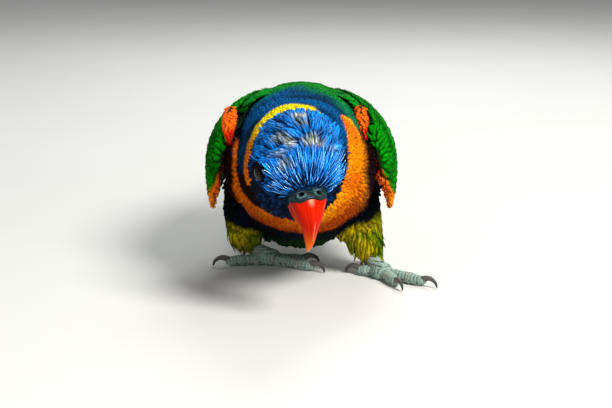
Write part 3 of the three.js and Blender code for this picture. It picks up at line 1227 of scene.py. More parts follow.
@dataclass(frozen=True)
class Markings:
    """Which colour the plumage has at each place, the same for skin and coat."""

    pitch: float = 14.0
    widening: float = 1 / 510
    partings: tuple[Parting, ...] = (
        Parting((1.0, 12.5, 11.3), (2.8, 2.4), 0.95),
        Parting((0.8, 8.5, 13.8), (2.6, 1.7), 0.9),
        Parting((-8.4, 4.0, 13.0), (4.0, 1.8), 0.75),
        Parting((-5.2, 1.0, 14.8), (2.3, 2.7), 0.85),
        Parting((3.4, 0.4, 15.3), (4.6, 3.0), 0.95),
        Parting((-8.3, -6.3, 12.2), (3.4, 2.3), 0.6, True),
        Parting((-9.5, -2.2, 12.7), (5.0, 1.2), 0.5),
        Parting((10.0, -2.2, 12.3), (2.6, 1.3), 0.5),
    )
    ragged: Noise = field(default_factory=lambda: Noise(5, 2.4))
    patchy: Noise = field(default_factory=lambda: Noise(6, 5.0))
    broad: Noise = field(default_factory=lambda: Noise(7, 11.0))
    fine: Noise = field(default_factory=lambda: Noise(8, 1.1))

    def rings(self, points: Array) -> tuple[Array, Array]:
        """Places in rings round the bowed head's axis, which leans back by the pitch.

        Args:
            points: design points.

        Returns:
            The distance from the axis, less where it lies further back, and the angle in
            degrees from the top, positive towards the bird's left.
        """
        lean = math.radians(self.pitch)
        from_head = points - np.array(POSTURE.head)
        back = from_head @ np.array([0, math.cos(lean), -math.sin(lean)])
        over = from_head @ np.array([0, math.sin(lean), math.cos(lean)])
        sideways = from_head[:, 0]
        distance = np.hypot(sideways, over) / (1 + self.widening * back)
        return distance, np.degrees(np.arctan2(sideways, over))

    def hooded(self, points: Array) -> Array:
        """Which places are on the blue hood: the head itself, and the throat's spread below it.

        Args:
            points: design points.

        Returns:
            True or false for each.
        """
        distance, angle = self.rings(points)
        turns = [-180, -150, -125, -108, -90, -78, -66, -45, -18, 7, 23, 44, 60, 80, 97, 120]
        turns += [140, 165, 180]
        edge = [18.0, 18.8, 19.0, 17.6, 16.0, 15.2, 15.6, 16.6, 17.0, 17.0, 17.0, 16.2, 15.4, 15, 15, 15]
        edge += [16.6, 17.6, 18.0]
        spread = distance + 0.8 * (self.ragged(points) - 0.5) < np.interp(angle, turns, edge)
        return (HEAD.reach(POSTURE.to_head(points)) < 0.97) | (spread & (points[:, 1] < -36))

    def parted(self, local: Array, open_only: bool = False) -> Array:
        """How much pale down shows at places on the crown, in the head's frame.

        Args:
            local: places in the head's frame.
            open_only: whether only the partings with no rays over them count.

        Returns:
            Shares from 0 to 1.
        """
        share = np.zeros(len(local))
        for parting in (p for p in self.partings if p.open_ahead or not open_only):
            off = (local - np.array(parting.at)) / np.array([*parting.size, 3.5])
            share = np.maximum(share, parting.pale * smoothstep(1.35, 0.6, np.linalg.norm(off, axis=1)))
        return share

    def hood(self, points: Array) -> Array:
        """Colours of the blue head.

        Args:
            points: design points.

        Returns:
            A colour for each.
        """
        local = POSTURE.to_head(points)
        noise, patch = self.ragged(points), self.patchy(points)
        colour = blend(Tone.CROWN, Tone.CROWN_DEEP, smoothstep(0.45, 0.8, noise) * 0.8)
        # Deep blue face and near-black throat under the head: partly their own colour, partly painted
        # shade.
        ahead = np.maximum(smoothstep(11.0, 3.0, local[:, 1]), smoothstep(-3.0, -9.0, local[:, 2]))
        face = smoothstep(6.0, -2.0, local[:, 2] + 3 * (patch - 0.5)) * ahead
        colour = blend(colour, Tone.FACE, face * 0.9)
        dark = smoothstep(-2.0, -9.0, local[:, 2] + 3 * (noise - 0.5)) * ahead
        colour = blend(colour, Tone.THROAT, dark)
        flecks = smoothstep(0.6, 0.78, self.fine(points)) * face
        colour = blend(colour, Tone.CROWN_DEEP, flecks * 0.55)
        near, _ = HEAD.from_bill(local)
        colour = blend(colour, Tone.THROAT, smoothstep(17.0, 9.0, near) * 0.85)
        colour = blend(colour, Tone.THROAT, smoothstep(7.2, 4.4, self.from_eye(local)) * 0.85)
        shade = self.parted(local) * smoothstep(0.15, 0.5, self.fine(points) + 0.2)
        pale = blend(Tone.DOWN, Tone.DOWN_PALE, smoothstep(0.3, 0.7, noise))
        return blend(colour, pale, shade)

    @staticmethod
    def from_eye(local: Array) -> Array:
        """Distances of head-frame places from the nearer eye's middle."""
        folded = np.abs(local) * [1, 0, 0] + local * [0, 1, 1]
        return np.linalg.norm(folded - np.array(POSTURE.eye), axis=1)

    def collar_mask(self, points: Array) -> tuple[Array, Array]:
        """Shares of nape collar and breast at places behind and below the head.

        Args:
            points: design points.

        Returns:
            The share of the narrow nape collar, and of the wide breast.
        """
        distance, angle = self.rings(points)
        distance = distance + 0.5 * (self.ragged(points) - 0.5)
        around = [-115, -113, -96, -86, -72, -58, -44, -30, -18, -5, 7, 16, 23, 25]
        ends = [0, 19.7, 19.3, 19.1, 19.1, 19.4, 20.0, 20.8, 21.1, 21.1, 20.8, 20.3, 19.4, 0]
        outer = np.interp(angle, around, ends)
        collar = smoothstep(outer + 0.2, outer - 0.2, distance)
        around = [-180, -161, -139, -118, -108, -86, -73, -62, -57, 40, 42, 48, 56, 69, 85, 97]
        ends = [19.3, 19.8, 20.9, 22.1, 22.2, 21.9, 22.2, 24.0, 40, 40, 22.4, 21.6, 20.4, 18.7, 17.7, 17.4]
        inner = np.interp(angle, around + [115, 123, 138, 160, 180], ends + [16, 16.4, 17.8, 18.5, 19.1])
        around = [-180, -155, -127, -109, -101, -86, -69, -57, 41, 48, 64, 80, 97, 108, 113]
        ends = [24.0, 23.8, 25.3, 24.5, 23.2, 23.1, 24, 25, 23, 24.2, 23.9, 22.4, 22.6, 23.9, 25.4]
        outer = np.interp(angle, around + [130, 150, 166, 180], ends + [26, 25.8, 24.8, 24.1])
        fade = np.interp(angle, [62, 76, 122, 136], [0.35, 2.6, 2.6, 0.35])
        breast = smoothstep(inner - 0.25, inner + 0.25, distance)
        return collar, breast * smoothstep(outer + fade, outer - 0.35, distance)

    def trunk(self, points: Array) -> Array:
        """Colours of neck, breast, back, belly and rump, with painted shade under the head and wings.

        Args:
            points: design points.

        Returns:
            A colour for each.
        """
        x, y, z = points.T
        noise, patch, broad = self.ragged(points), self.patchy(points), self.broad(points)
        distance, angle = self.rings(points)
        collar, breast = self.collar_mask(points)
        green = blend(Tone.MANTLE, Tone.MANTLE_DARK, smoothstep(0.45, 0.8, patch) * 0.7)
        green = blend(green, Tone.TEAL, smoothstep(29, 25, distance) * 0.6)
        under = blend(Tone.BELLY, Tone.BELLY_BLUE, smoothstep(0.4, 0.8, broad))
        under = blend(under, Tone.FLANK, smoothstep(20, 13, z + 5 * (patch - 0.5)) * 0.9)
        vent = blend(Tone.VENT, Tone.FLANK, smoothstep(0.45, 0.55, noise))
        under = blend(under, vent, smoothstep(26, 44, y + 8 * (patch - 0.5)))
        under = blend(under, self.thigh(points), self.thighs(points))
        waist = np.interp(y, [-40, -10, 20, 45, 60, 77], [52, 46, 42, 46, 50, 49])
        # Dark underparts reach higher beside the breast: a painted shadow filling the gap between wing and
        # body.
        waist = waist + 10 * smoothstep(14, 19, np.abs(x)) * smoothstep(12, 0, y)
        colour = blend(under, green, smoothstep(waist - 3, waist + 4, z + 4 * (noise - 0.5)))
        # The sides under the wings are painted dark red in patches: painted shade over orange-red.
        side = smoothstep(8, 16, np.abs(x)) * smoothstep(waist + 6, waist, z) * smoothstep(6, -12, y)
        shaded_side = side * smoothstep(32, 40, z) * (0.35 + 0.4 * smoothstep(0.4, 0.7, patch))
        colour = blend(colour, Tone.MAROON, shaded_side)
        streaks = self.ragged(np.stack([distance * 1.3, angle * 0.09, y * 0.2], 1))
        hind = blend(Tone.HINDNECK, Tone.HINDNECK_DARK, smoothstep(0.35, 0.8, streaks) * 0.75)
        hind = blend(hind, Tone.HINDNECK_DARK, smoothstep(50, 90, np.abs(angle)) * 0.8)
        near = np.abs(distance + 2.0 * (patch - 0.5))
        around = [-120, -100, -80, -45, 0, 30, 45, 80, 100, 120]
        reach = np.interp(angle, around, [0, 21, 23.5, 26.2, 27.2, 25.4, 24, 22, 20, 0])
        colour = blend(colour, hind, smoothstep(reach + 1.3, reach - 1.3, near) * (y < 0))
        warm = blend(Tone.BREAST, Tone.BREAST_RED, smoothstep(0.45, 0.8, patch) * 0.55)
        warm = blend(warm, Tone.BREAST_YELLOW, smoothstep(0.55, 0.8, broad) * 0.7)
        # Painted shade on an evenly orange breast: redder and darker at the bottom and on the bird's
        # right.
        low = smoothstep(20.5, 24.5, distance + 1.5 * (noise - 0.5)) * smoothstep(95, 140, np.abs(angle))
        warm = blend(warm, Tone.BREAST_RED, np.maximum(low * 0.85, 0.55 * (angle < 0)))
        warm = blend(warm, Tone.MAROON, smoothstep(-95, -150, angle) * 0.3)
        warm = warm * (1 - 0.4 * low)[:, None]
        colour = blend(colour, warm, breast * (y < -8))
        nape = blend(Tone.NAPE_YELLOW, Tone.NAPE_ORANGE, smoothstep(-32, -82, angle))
        return blend(colour, nape, collar * (y < -20))

    @staticmethod
    def flank(points: Array) -> Array:
        """The share of loose flank plumage that fills the gap under the wings, from 0 to 1.

        Args:
            points: design points.

        Returns:
            The shares.
        """
        x, y, z = points.T
        low = smoothstep(57, 52, z) * smoothstep(33, 40, z)
        return smoothstep(15, 20, np.abs(x)) * low * smoothstep(24, 8, y) * smoothstep(-34, -26, y)

    def thighs(self, points: Array) -> Array:
        """The share of thigh at places low on the body, from 0 to 1.

        Args:
            points: design points.

        Returns:
            The shares.
        """
        share = np.zeros(len(points))
        for leg in LEGS.values():
            hip, knee, ankle = (np.array(at) * [leg.side, 1, 1] for at in (leg.hip, leg.knee, leg.ankle))
            for start, end, radius in ((hip, knee, (11.0, 11.0)), (knee, ankle, (10.8, 6.6))):
                line = end - start
                run = np.clip((points - start) @ line / (line @ line), 0, 1)
                off = np.linalg.norm(points - start - run[:, None] * line, axis=1)
                limit = radius[0] + (radius[1] - radius[0]) * run
                share = np.maximum(share, smoothstep(limit + 1.2, limit - 0.4, off))
        x, _, z = points.T
        top = np.where(x > 0, 25.0 - 0.45 * (31 - np.abs(x)), 18.0 - 0.15 * (28 - np.abs(x)))
        return share * smoothstep(1.5, -1.5, z - top + 4 * (self.patchy(points) - 0.5))

    def thigh(self, points: Array) -> Array:
        """Colours of the thighs: yellow with ragged green bars.

        Args:
            points: design points.

        Returns:
            A colour for each.
        """
        x, _, z = points.T
        bars = smoothstep(0.5, 0.66, self.patchy(points * np.array([0.8, 0.8, 1.5])))
        colour = blend(Tone.THIGH, Tone.THIGH_GREEN, bars * 0.7)
        return blend(colour, Tone.THIGH_GREEN, smoothstep(24, 31, np.abs(x)) * 0.5)


class WingShape:
    """The folded wing's own surface, from shoulder to tips and from top edge to bottom edge."""

    TOP = (
        (27.5, -16, 60), (25.5, -9, 66), (21.5, 8, 68), (17, 30, 68), (11.5, 54, 65),
        (6.5, 82, 58.5), (2.2, 124, 51),
    )
    BOTTOM = (
        (32.5, -17, 36), (34, -9, 27.5), (34.5, 6, 25.5), (32, 28, 30), (25, 56, 38),
        (16, 88, 44.5), (6, 124, 47),
    )
    BULGE = (1, 4.2, 7, 7, 5.2, 2.8, 0.5)
    THICK = (2.6, 4.2, 4.8, 4, 2.6, 1.6, 0.8)

    def __init__(self, side: float) -> None:
        """Args: side: -1 for the bird's right wing and 1 for its left."""
        self.side = side
        self.top, self.bottom = Spline(self.TOP), Spline(self.BOTTOM)
        self.bulge, self.thick = Spline(self.BULGE), Spline(self.THICK)

    def place(self, along: Array, down: Array, out: Array) -> Array:
        """Design points on the wing.

        Args:
            along: shares from shoulder to tips.
            down: shares from the top edge to the bottom edge.
            out: distances outwards from the wing's middle surface.

        Returns:
            The points.
        """
        along, down, out = np.broadcast_arrays(along, down, out)
        first, last = self.top(along), self.bottom(along)
        across = last - first
        outward = unit(np.stack([across[..., 2], np.zeros_like(down), -across[..., 0]], -1))
        outward = outward * np.where(outward[..., :1] < 0, -1, 1)
        swell = np.sin(np.pi * np.clip(down, 0, 1) ** 0.82)
        off = self.bulge(along) * swell + out
        found = first + across * down[..., None] + outward * off[..., None]
        return found * np.array([self.side, 1, 1])

    def find(self, points: Array) -> tuple[Array, Array, Array]:
        """Where design points lie on the wing.

        Args:
            points: design points near the wing.

        Returns:
            Shares along and down, and the distance outwards from the middle surface.
        """
        table = np.linspace(0, 1, 200)
        x, y, z = points.T
        down = np.full(len(points), 0.5)
        for _ in range(3):
            upper, lower = self.top(table)[:, 1], self.bottom(table)[:, 1]
            along = np.interp(y, upper, table) * (1 - down) + np.interp(y, lower, table) * down
            high, low = self.top(along)[:, 2], self.bottom(along)[:, 2]
            down = np.clip((high - z) / (high - low), 0, 1)
        middle = self.place(along, down, 0.0)
        return along, down, (x - middle[:, 0]) * self.side

    def height(self, along: Array) -> Array:
        """The wing's height from edge to edge."""
        return np.linalg.norm(self.top(along) - self.bottom(along), axis=-1)


@dataclass
class Core:
    """The shape under a coat, kept as a hidden object that vanes are bent to."""

    name: str
    made: Object = field(init=False)
    surface: Surface = field(init=False)

    def keep(self, made: Object) -> "Core":
        """Hides the finished shape and stores its normals for the coat.

        Args:
            made: the finished shape.

        Returns:
            This core.
        """
        self.made = made
        self.surface = Surface.of(made.data)
        write_attributes(made.data, "FLOAT_VECTOR", smooth_up=self.surface.normals)
        made.hide_render = True
        LOG.info("%s: %d points", self.name, len(self.surface.points))
        return self

    def discard(self) -> None:
        """Removes the hidden object."""
        bpy.data.objects.remove(self.made)


@dataclass
class PluckedCore(Core):
    """Frame nodes fused into one shape and sunk by the depth of their coat."""

    nodes: Sequence[str]
    inset: Callable[[Array], Array]
    voxel: float = 0.9
    grow: float = 0.45
    smoothing: int = 8

    def build(self) -> Core:
        """Fuses the nodes and sinks their surface.

        Returns:
            This core.
        """
        made = remeshed(joined_nodes(self.name, self.nodes, self.grow), self.voxel, self.smoothing)
        surface = Surface.of(made.data)
        depth = self.grow * 0.7 + self.inset(surface.points)
        write_places(made.data, surface.points - surface.normals * depth[:, None])
        relax(made, 4)
        return self.keep(settled(made))


@dataclass
class BendCore(Core):
    """The bend of one folded wing: a soft mound beside the shoulder."""

    line: Sequence[Point]
    voxel: float = 0.5
    wide: tuple[float, ...] = (1.2, 2.1, 1.6, 0.4)
    deep: tuple[float, ...] = (1.2, 2.8, 2.5, 0.6)

    def build(self) -> Core:
        """Lofts the mound and turns it into even faces.

        Returns:
            This core.
        """
        share = np.linspace(0, 1, 24)
        centres = Spline(self.line)(share)
        across, over = (np.broadcast_to(way, centres.shape) for way in np.eye(3)[:2])
        rings = tube(centres, across, over, Spline(self.wide)(share), Spline(self.deep)(share), 24)
        return self.keep(remeshed(mesh_object(self.name, *loft(rings)), self.voxel, 2))


@dataclass
class Roots:
    """Where each feather grows, and how it lies; a plain number stands for all of them."""

    points: Array
    up: Array
    lay: Array
    width: Array | float
    length: Array
    low: Array | float
    high: Array
    curl: Array | float
    tone: Array
    rim: Array
    gleam: Array | float = 0.0

    def cloud(self, name: str, thick: float) -> Object:
        """A cloud of points that carries everything the coat tree reads.

        Args:
            name: the cloud's name.
            thick: how thick the feathers are.

        Returns:
            The cloud.
        """
        made = mesh_object(name, self.points, [])
        each = np.ones(len(self.points))
        size = np.stack([self.width * each, self.length, thick * each], 1) * MM
        stand = np.stack([self.low * each, self.high, self.curl * each], 1) * MM
        shades = {"tone": self.tone, "edge": self.rim, "shine": self.gleam}
        shades = {key: np.broadcast_to(value, self.points.shape) for key, value in shades.items()}
        vectors = {"up": self.up, "lay": self.lay, "size": size, "stand": stand, "root_uv": self.unwrap()}
        write_attributes(made.data, "FLOAT_VECTOR", **vectors, **shades)
        return made

    def unwrap(self) -> Array:
        """Places on an unwrap of the skin into six charts, one for each way that it faces.

        Returns:
            A place for each root, as three numbers of which the last is 0.
        """
        facing = np.abs(self.up).argmax(1)
        positive = self.up[np.arange(len(self.up)), facing] > 0
        low, high = self.points.min(0), self.points.max(0)
        share = (self.points - low) / (high - low).max()
        pairs = np.array([(1, 2), (0, 2), (0, 1)])[facing]
        rows = np.arange(len(share))
        u = (facing + share[rows, pairs[:, 0]] * 0.96) / 3
        v = (positive + share[rows, pairs[:, 1]] * 0.64 + 0.02) / 2
        return np.stack([u + 0.005, v, np.zeros(len(u))], 1)


def spaced(points: Array, gaps: Array) -> Array:
    """Thins random points until each keeps its own gap from the others.

    Args:
        points: the points, in random order.
        gaps: the least distance at each point.

    Returns:
        The numbers of the points that stay.
    """
    cell = float(gaps.max())
    keys = np.floor(points / cell).astype(int)
    around = [tuple(offset) for offset in np.ndindex(3, 3, 3)]
    taken: dict[tuple[int, ...], list[int]] = {}
    kept = []
    place, least = points.tolist(), (gaps**2).tolist()
    for i, (a, b, c) in enumerate(keys.tolist()):
        x, y, z = place[i]
        near = (place[j] for p, q, r in around for j in taken.get((a + p - 1, b + q - 1, c + r - 1), ()))
        if all((u - x) ** 2 + (v - y) ** 2 + (w - z) ** 2 >= least[i] for u, v, w in near):
            taken.setdefault((a, b, c), []).append(i)
            kept.append(i)
    return np.array(kept)


@dataclass
class Coat:
    """One piece of the coat: its roots, its vanes and its finish."""

    name: str
    slot: str
    core: Core
    tree: bpy.types.NodeTree
    vanes: Sequence[Object]
    finish: Material
    seed: int
    markings: Markings
    camber: float = 0.12
    thick: float = 0.09
    floor_gap: float = 0.3
    finest: float = 1.0
    tries: int = 7

    def region(self, points: Array, normals: Array) -> Array:
        """Which places belong to this piece."""
        raise NotImplementedError

    def gap(self, points: Array) -> Array:
        """The distance between roots, even unless a kind of coat says otherwise."""
        return np.full(len(points), self.finest)

    def grow(self, points: Array, normals: Array, rng: Rng) -> Roots:
        """How the feathers lie at the chosen places."""
        raise NotImplementedError

    def paint(self, points: Array, ups: Array) -> Array:
        """The plumage's colours at places on the vanes."""
        return self.markings.trunk(points)

    def build(self) -> Object:
        """Scatters the roots and lays the vanes.

        Returns:
            The finished piece.
        """
        rng = np.random.default_rng(self.seed)
        count = int(float(self.core.surface.areas.sum()) / self.finest**2 * self.tries)
        points, normals = self.core.surface.sprinkled(count, rng)
        inside = self.region(points, normals)
        points, normals = points[inside], normals[inside]
        kept = spaced(points, self.gap(points))
        roots = self.grow(points[kept], normals[kept], rng)
        return self.laid(roots)

    def laid(self, roots: Roots) -> Object:
        """Runs the coat tree on the roots and keeps its plain mesh.

        Args:
            roots: where the feathers grow.

        Returns:
            The finished piece.
        """
        cloud = roots.cloud(self.name, self.thick)
        weave = cloud.modifiers.new("Coat", "NODES")
        weave.node_group = self.tree
        values = {f"Vane {letter}": vane for letter, vane in zip("ABC", self.vanes)}
        values |= {"Surface": self.core.made, "Finish": self.finish}
        values |= {"Camber": self.camber, "Seed": self.seed}
        for item in self.tree.interface.items_tree:
            if item.in_out == "INPUT" and item.name in values:
                weave[item.identifier] = values[item.name]
        settled(cloud)
        self.coloured(cloud.data)
        LOG.info("%s: %d feathers", self.name, len(roots.points))
        return dress(cloud, self.finish)

    def coloured(self, mesh: Mesh) -> None:
        """Paints each point of the vanes by where it lies, times its own feather's tone.

        Args:
            mesh: the coat's plain mesh.
        """
        places = read_places(mesh)
        places[:, 2] = np.maximum(places[:, 2], self.floor_gap)
        write_places(mesh, places)
        tint = self.paint(places, read_attribute(mesh, "up")) * read_attribute(mesh, "tone")
        rim, gleam = tint * read_attribute(mesh, "edge"), tint + read_attribute(mesh, "shine")
        write_attributes(mesh, "FLOAT_COLOR", tint=tint, rim=rim, gleam=gleam)
        for name in ("tone", "edge", "shine", "up", "lay", "size", "stand", "root_uv"):
            mesh.attributes.remove(mesh.attributes[name])


def tones(rng: Rng, count: int, amount: float) -> Array:
    """Factors that make each feather a little lighter or darker."""
    return (1 + amount * rng.standard_normal(count)).clip(0.35, 1.9)[:, None]


def clumped(points: Array, gap: float) -> tuple[Array, Array]:
    """Gathers places into clumps.

    Args:
        points: the places, in random order.
        gap: the least distance between clumps.

    Returns:
        The number of each place's clump, and the clumps' middles.
    """
    middles = points[spaced(points, np.full(len(points), gap))]
    return ((points[:, None] - middles) ** 2).sum(-1).argmin(1), middles


def flow(points: Array, normals: Array) -> Array:
    """The lay of the coat: away from the bill on the head, then along the body to the tail.

    Args:
        points: places on the skin.
        normals: the skin's normals there.

    Returns:
        A direction along the skin for each.
    """
    local = POSTURE.to_head(points)
    _, from_bill = HEAD.from_bill(local)
    from_head = unit(points - np.array(POSTURE.head))
    reach = HEAD.reach(local)
    beyond = from_head * 0.8 + TAILWARD * 0.5
    ahead = blend(from_bill @ POSTURE.axes.T, beyond, smoothstep(1.0, 1.3, reach))
    sink = 0.7 * smoothstep(62, 40, points[:, 2])
    backward = TAILWARD - UP * sink[:, None]
    return tangent(blend(ahead, backward, smoothstep(1.15, 2.0, reach)), normals)


@dataclass
class HoodCoat(Coat):
    """Small feathers of the head, gathered into ruffled tufts on the crown."""

    finest: float = 0.64
    closest: float = 0.62
    eye_clear: float = 4.0
    cere_clear: float = 4.7
    cere: Point = (0.0, -16.5, 0.0)
    clump: float = 2.9

    def region(self, points: Array, normals: Array) -> Array:
        """The hood outside eyes and cere.

        Args:
            points: places on the skin.
            normals: the skin's normals there; not used here.

        Returns:
            Which places are in it.
        """
        local = POSTURE.to_head(points)
        off = (local - np.array(self.cere)) * np.array([0.95, 1, 1.05])
        clear = self.markings.from_eye(local) > self.eye_clear
        clear &= np.linalg.norm(off, axis=1) > self.cere_clear
        return clear & self.markings.hooded(points)

    def gap(self, points: Array) -> Array:
        """Finest near the bill and eyes, sparse where the coat parts.

        Args:
            points: places on the skin.

        Returns:
            The gap at each.
        """
        local = POSTURE.to_head(points)
        near, _ = HEAD.from_bill(local)
        return self.closest + 0.16 * smoothstep(6, 16, near) + 0.2 * self.markings.parted(local)

    def lay(self, points: Array, normals: Array, rng: Rng) -> tuple[Array, Array, Array]:
        """How the feathers lie: radiating from the bill, then parted sideways in tufts.

        Args:
            points: the roots.
            normals: the skin's normals there.
            rng: the seeded generator.

        Returns:
            The lie, each feather's share of ruffling, and a random number shared by its tuft.
        """
        local = POSTURE.to_head(points)
        crown = smoothstep(4, 9, local[:, 2]) * smoothstep(-8, -2, local[:, 1])
        aside = np.where(local[:, 0] < 2.0, -1.25, 0.55) * smoothstep(0.0, 3.0, np.abs(local[:, 0] - 2.0))
        push = np.stack([aside, np.full(len(local), 0.12), np.zeros(len(local))], 1) @ POSTURE.axes.T
        along = tangent(flow(points, normals) + push * crown[:, None], normals)
        number, middles = clumped(points, self.clump)
        chance = rng.random(len(middles))[number]
        yaw = rng.normal(0, 0.42, len(middles))[number]
        along = turned(along, normals, yaw * (0.25 + 0.75 * crown) + rng.normal(0, 0.08, len(points)))
        gather = tangent(middles[number] + along * 4.5 - points, normals)
        return tangent(blend(along, gather, 0.2 + 0.45 * crown), normals), crown, chance

    def grow(self, points: Array, normals: Array, rng: Rng) -> Roots:
        """Feathers that grow longer and looser towards the nape.

        Args:
            points: the roots.
            normals: the skin's normals there.
            rng: the seeded generator.

        Returns:
            The feathers.
        """
        count = len(points)
        local = POSTURE.to_head(points)
        near, _ = HEAD.from_bill(local)
        parted = self.markings.parted(local)
        lay, crown, chance = self.lay(points, normals, rng)
        by_eye = smoothstep(8.0, 4.8, self.markings.from_eye(local))
        length = 2.0 + 3.0 * smoothstep(5, 17, near) + 0.3 * rng.standard_normal(count)
        face = smoothstep(2.0, -4.0, local[:, 2])
        nape = smoothstep(9.0, 15.0, local[:, 1])
        length = length * (1 - 0.4 * by_eye) * (1 - 0.35 * parted)
        length = length * (1 - 0.45 * face) * (1 - 0.3 * nape)
        width = 0.92 + 0.3 * smoothstep(8, 18, near) + 0.45 * nape + 0.3 * face
        rows = local[:, 1] + 2.4 * self.markings.patchy(points) + 0.2 * np.abs(local[:, 0])
        wave = (rows / 3.4) % 1.0
        loose = crown * smoothstep(13.5, 9.5, np.abs(local[:, 0]))
        high = 1.15 + 0.12 * rng.random(count) + loose * (0.5 * chance + 0.9 * wave) - 0.6 * parted
        high = high - 0.35 * by_eye - 0.25 * face
        curl = 0.05 * rng.standard_normal(count) + 0.3 * loose * (chance > 0.6) * rng.random(count)
        # Raised tufts and rows are painted lighter and sunken ones darker: painted light and shade on the
        # ruffles.
        ruffled = (0.55 + 0.75 * chance) * (1 + crown * (0.55 * wave - 0.25))
        shade = tones(rng, count, 0.16) * ruffled[:, None]
        rim = 0.35 + 0.5 * rng.random((count, 1))
        # A painted glint along some crown shafts.
        bright = (0.14 * rng.random(count) ** 2 * crown)[:, None] * Tone.GLEAM.linear
        length = length.clip(1.4, 8)
        return Roots(points, normals, lay, width, length, 0.1, high, curl, shade, rim, bright)

    def paint(self, points: Array, ups: Array) -> Array:
        """The blue head's colours."""
        return self.markings.hood(points)


@dataclass
class StreakCoat(HoodCoat):
    """Separate narrow feathers that fan out over the forehead, some with pale shafts and painted glints.
    """

    finest: float = 0.76
    ray: float = 3.4

    def gap(self, points: Array) -> Array:
        """Even."""
        return Coat.gap(self, points)

    def region(self, points: Array, normals: Array) -> Array:
        """The forehead above the cere, ahead of the partings.

        Args:
            points: places on the skin.
            normals: the skin's normals there.

        Returns:
            Which places are in it.
        """
        local = POSTURE.to_head(points)
        near, away = HEAD.from_bill(local)
        fan = (near > 6.6) & (near < 15.5 + 3 * (self.markings.patchy(points) - 0.5))
        clear = (self.markings.from_eye(local) > 6.2) & (self.markings.parted(local) < 0.4)
        clear &= self.markings.parted(local + self.ray * away, open_only=True) < 0.25
        return super().region(points, normals) & fan & (local[:, 2] > 1.5) & clear

    def grow(self, points: Array, normals: Array, rng: Rng) -> Roots:
        """Straight rays from the cere, their tips clear of the coat below.

        Args:
            points: the roots.
            normals: the skin's normals there.
            rng: the seeded generator.

        Returns:
            The feathers.
        """
        count = len(points)
        lay = turned(flow(points, normals), normals, rng.normal(0, 0.1, count))
        near, _ = HEAD.from_bill(POSTURE.to_head(points))
        length = 2.6 + 2.6 * smoothstep(6, 12, near) + 0.5 * rng.standard_normal(count)
        width = 0.42 + 0.16 * rng.random(count)
        high = 1.6 + 0.9 * rng.random(count)
        curl = 0.15 * rng.standard_normal(count)
        shade = tones(rng, count, 0.35) * 1.25
        rim = 0.2 + 0.5 * rng.random((count, 1))
        # Pale shafts: partly the feathers' own streaks, partly a painted highlight.
        bright = (2.6 * rng.random(count) ** 3)[:, None] * Tone.GLEAM.linear
        length = length.clip(1.6, 7)
        return Roots(points, normals, lay, width, length, 0.5, high, curl, shade, rim, bright)

    def paint(self, points: Array, ups: Array) -> Array:
        """Bright azure, darker towards the cere.

        Args:
            points: places on the vanes.
            ups: which way the skin faces there; not used here.

        Returns:
            A colour for each.
        """
        near, _ = HEAD.from_bill(POSTURE.to_head(points))
        azure = blend(Tone.CROWN_DEEP, Tone.CROWN, smoothstep(6.5, 11.0, near))
        deep = smoothstep(0.5, 0.75, self.markings.ragged(points)) * 0.7
        return blend(azure, Tone.CROWN_DEEP, deep)


class Stretch(Enum):
    """Stretches of the trunk: how much wider feathers stand there, at first and tailwards."""

    NECK = (0.0, 0.7)
    BACK = (0.2, 0.25)
    BELLY = (0.35, 0.7)


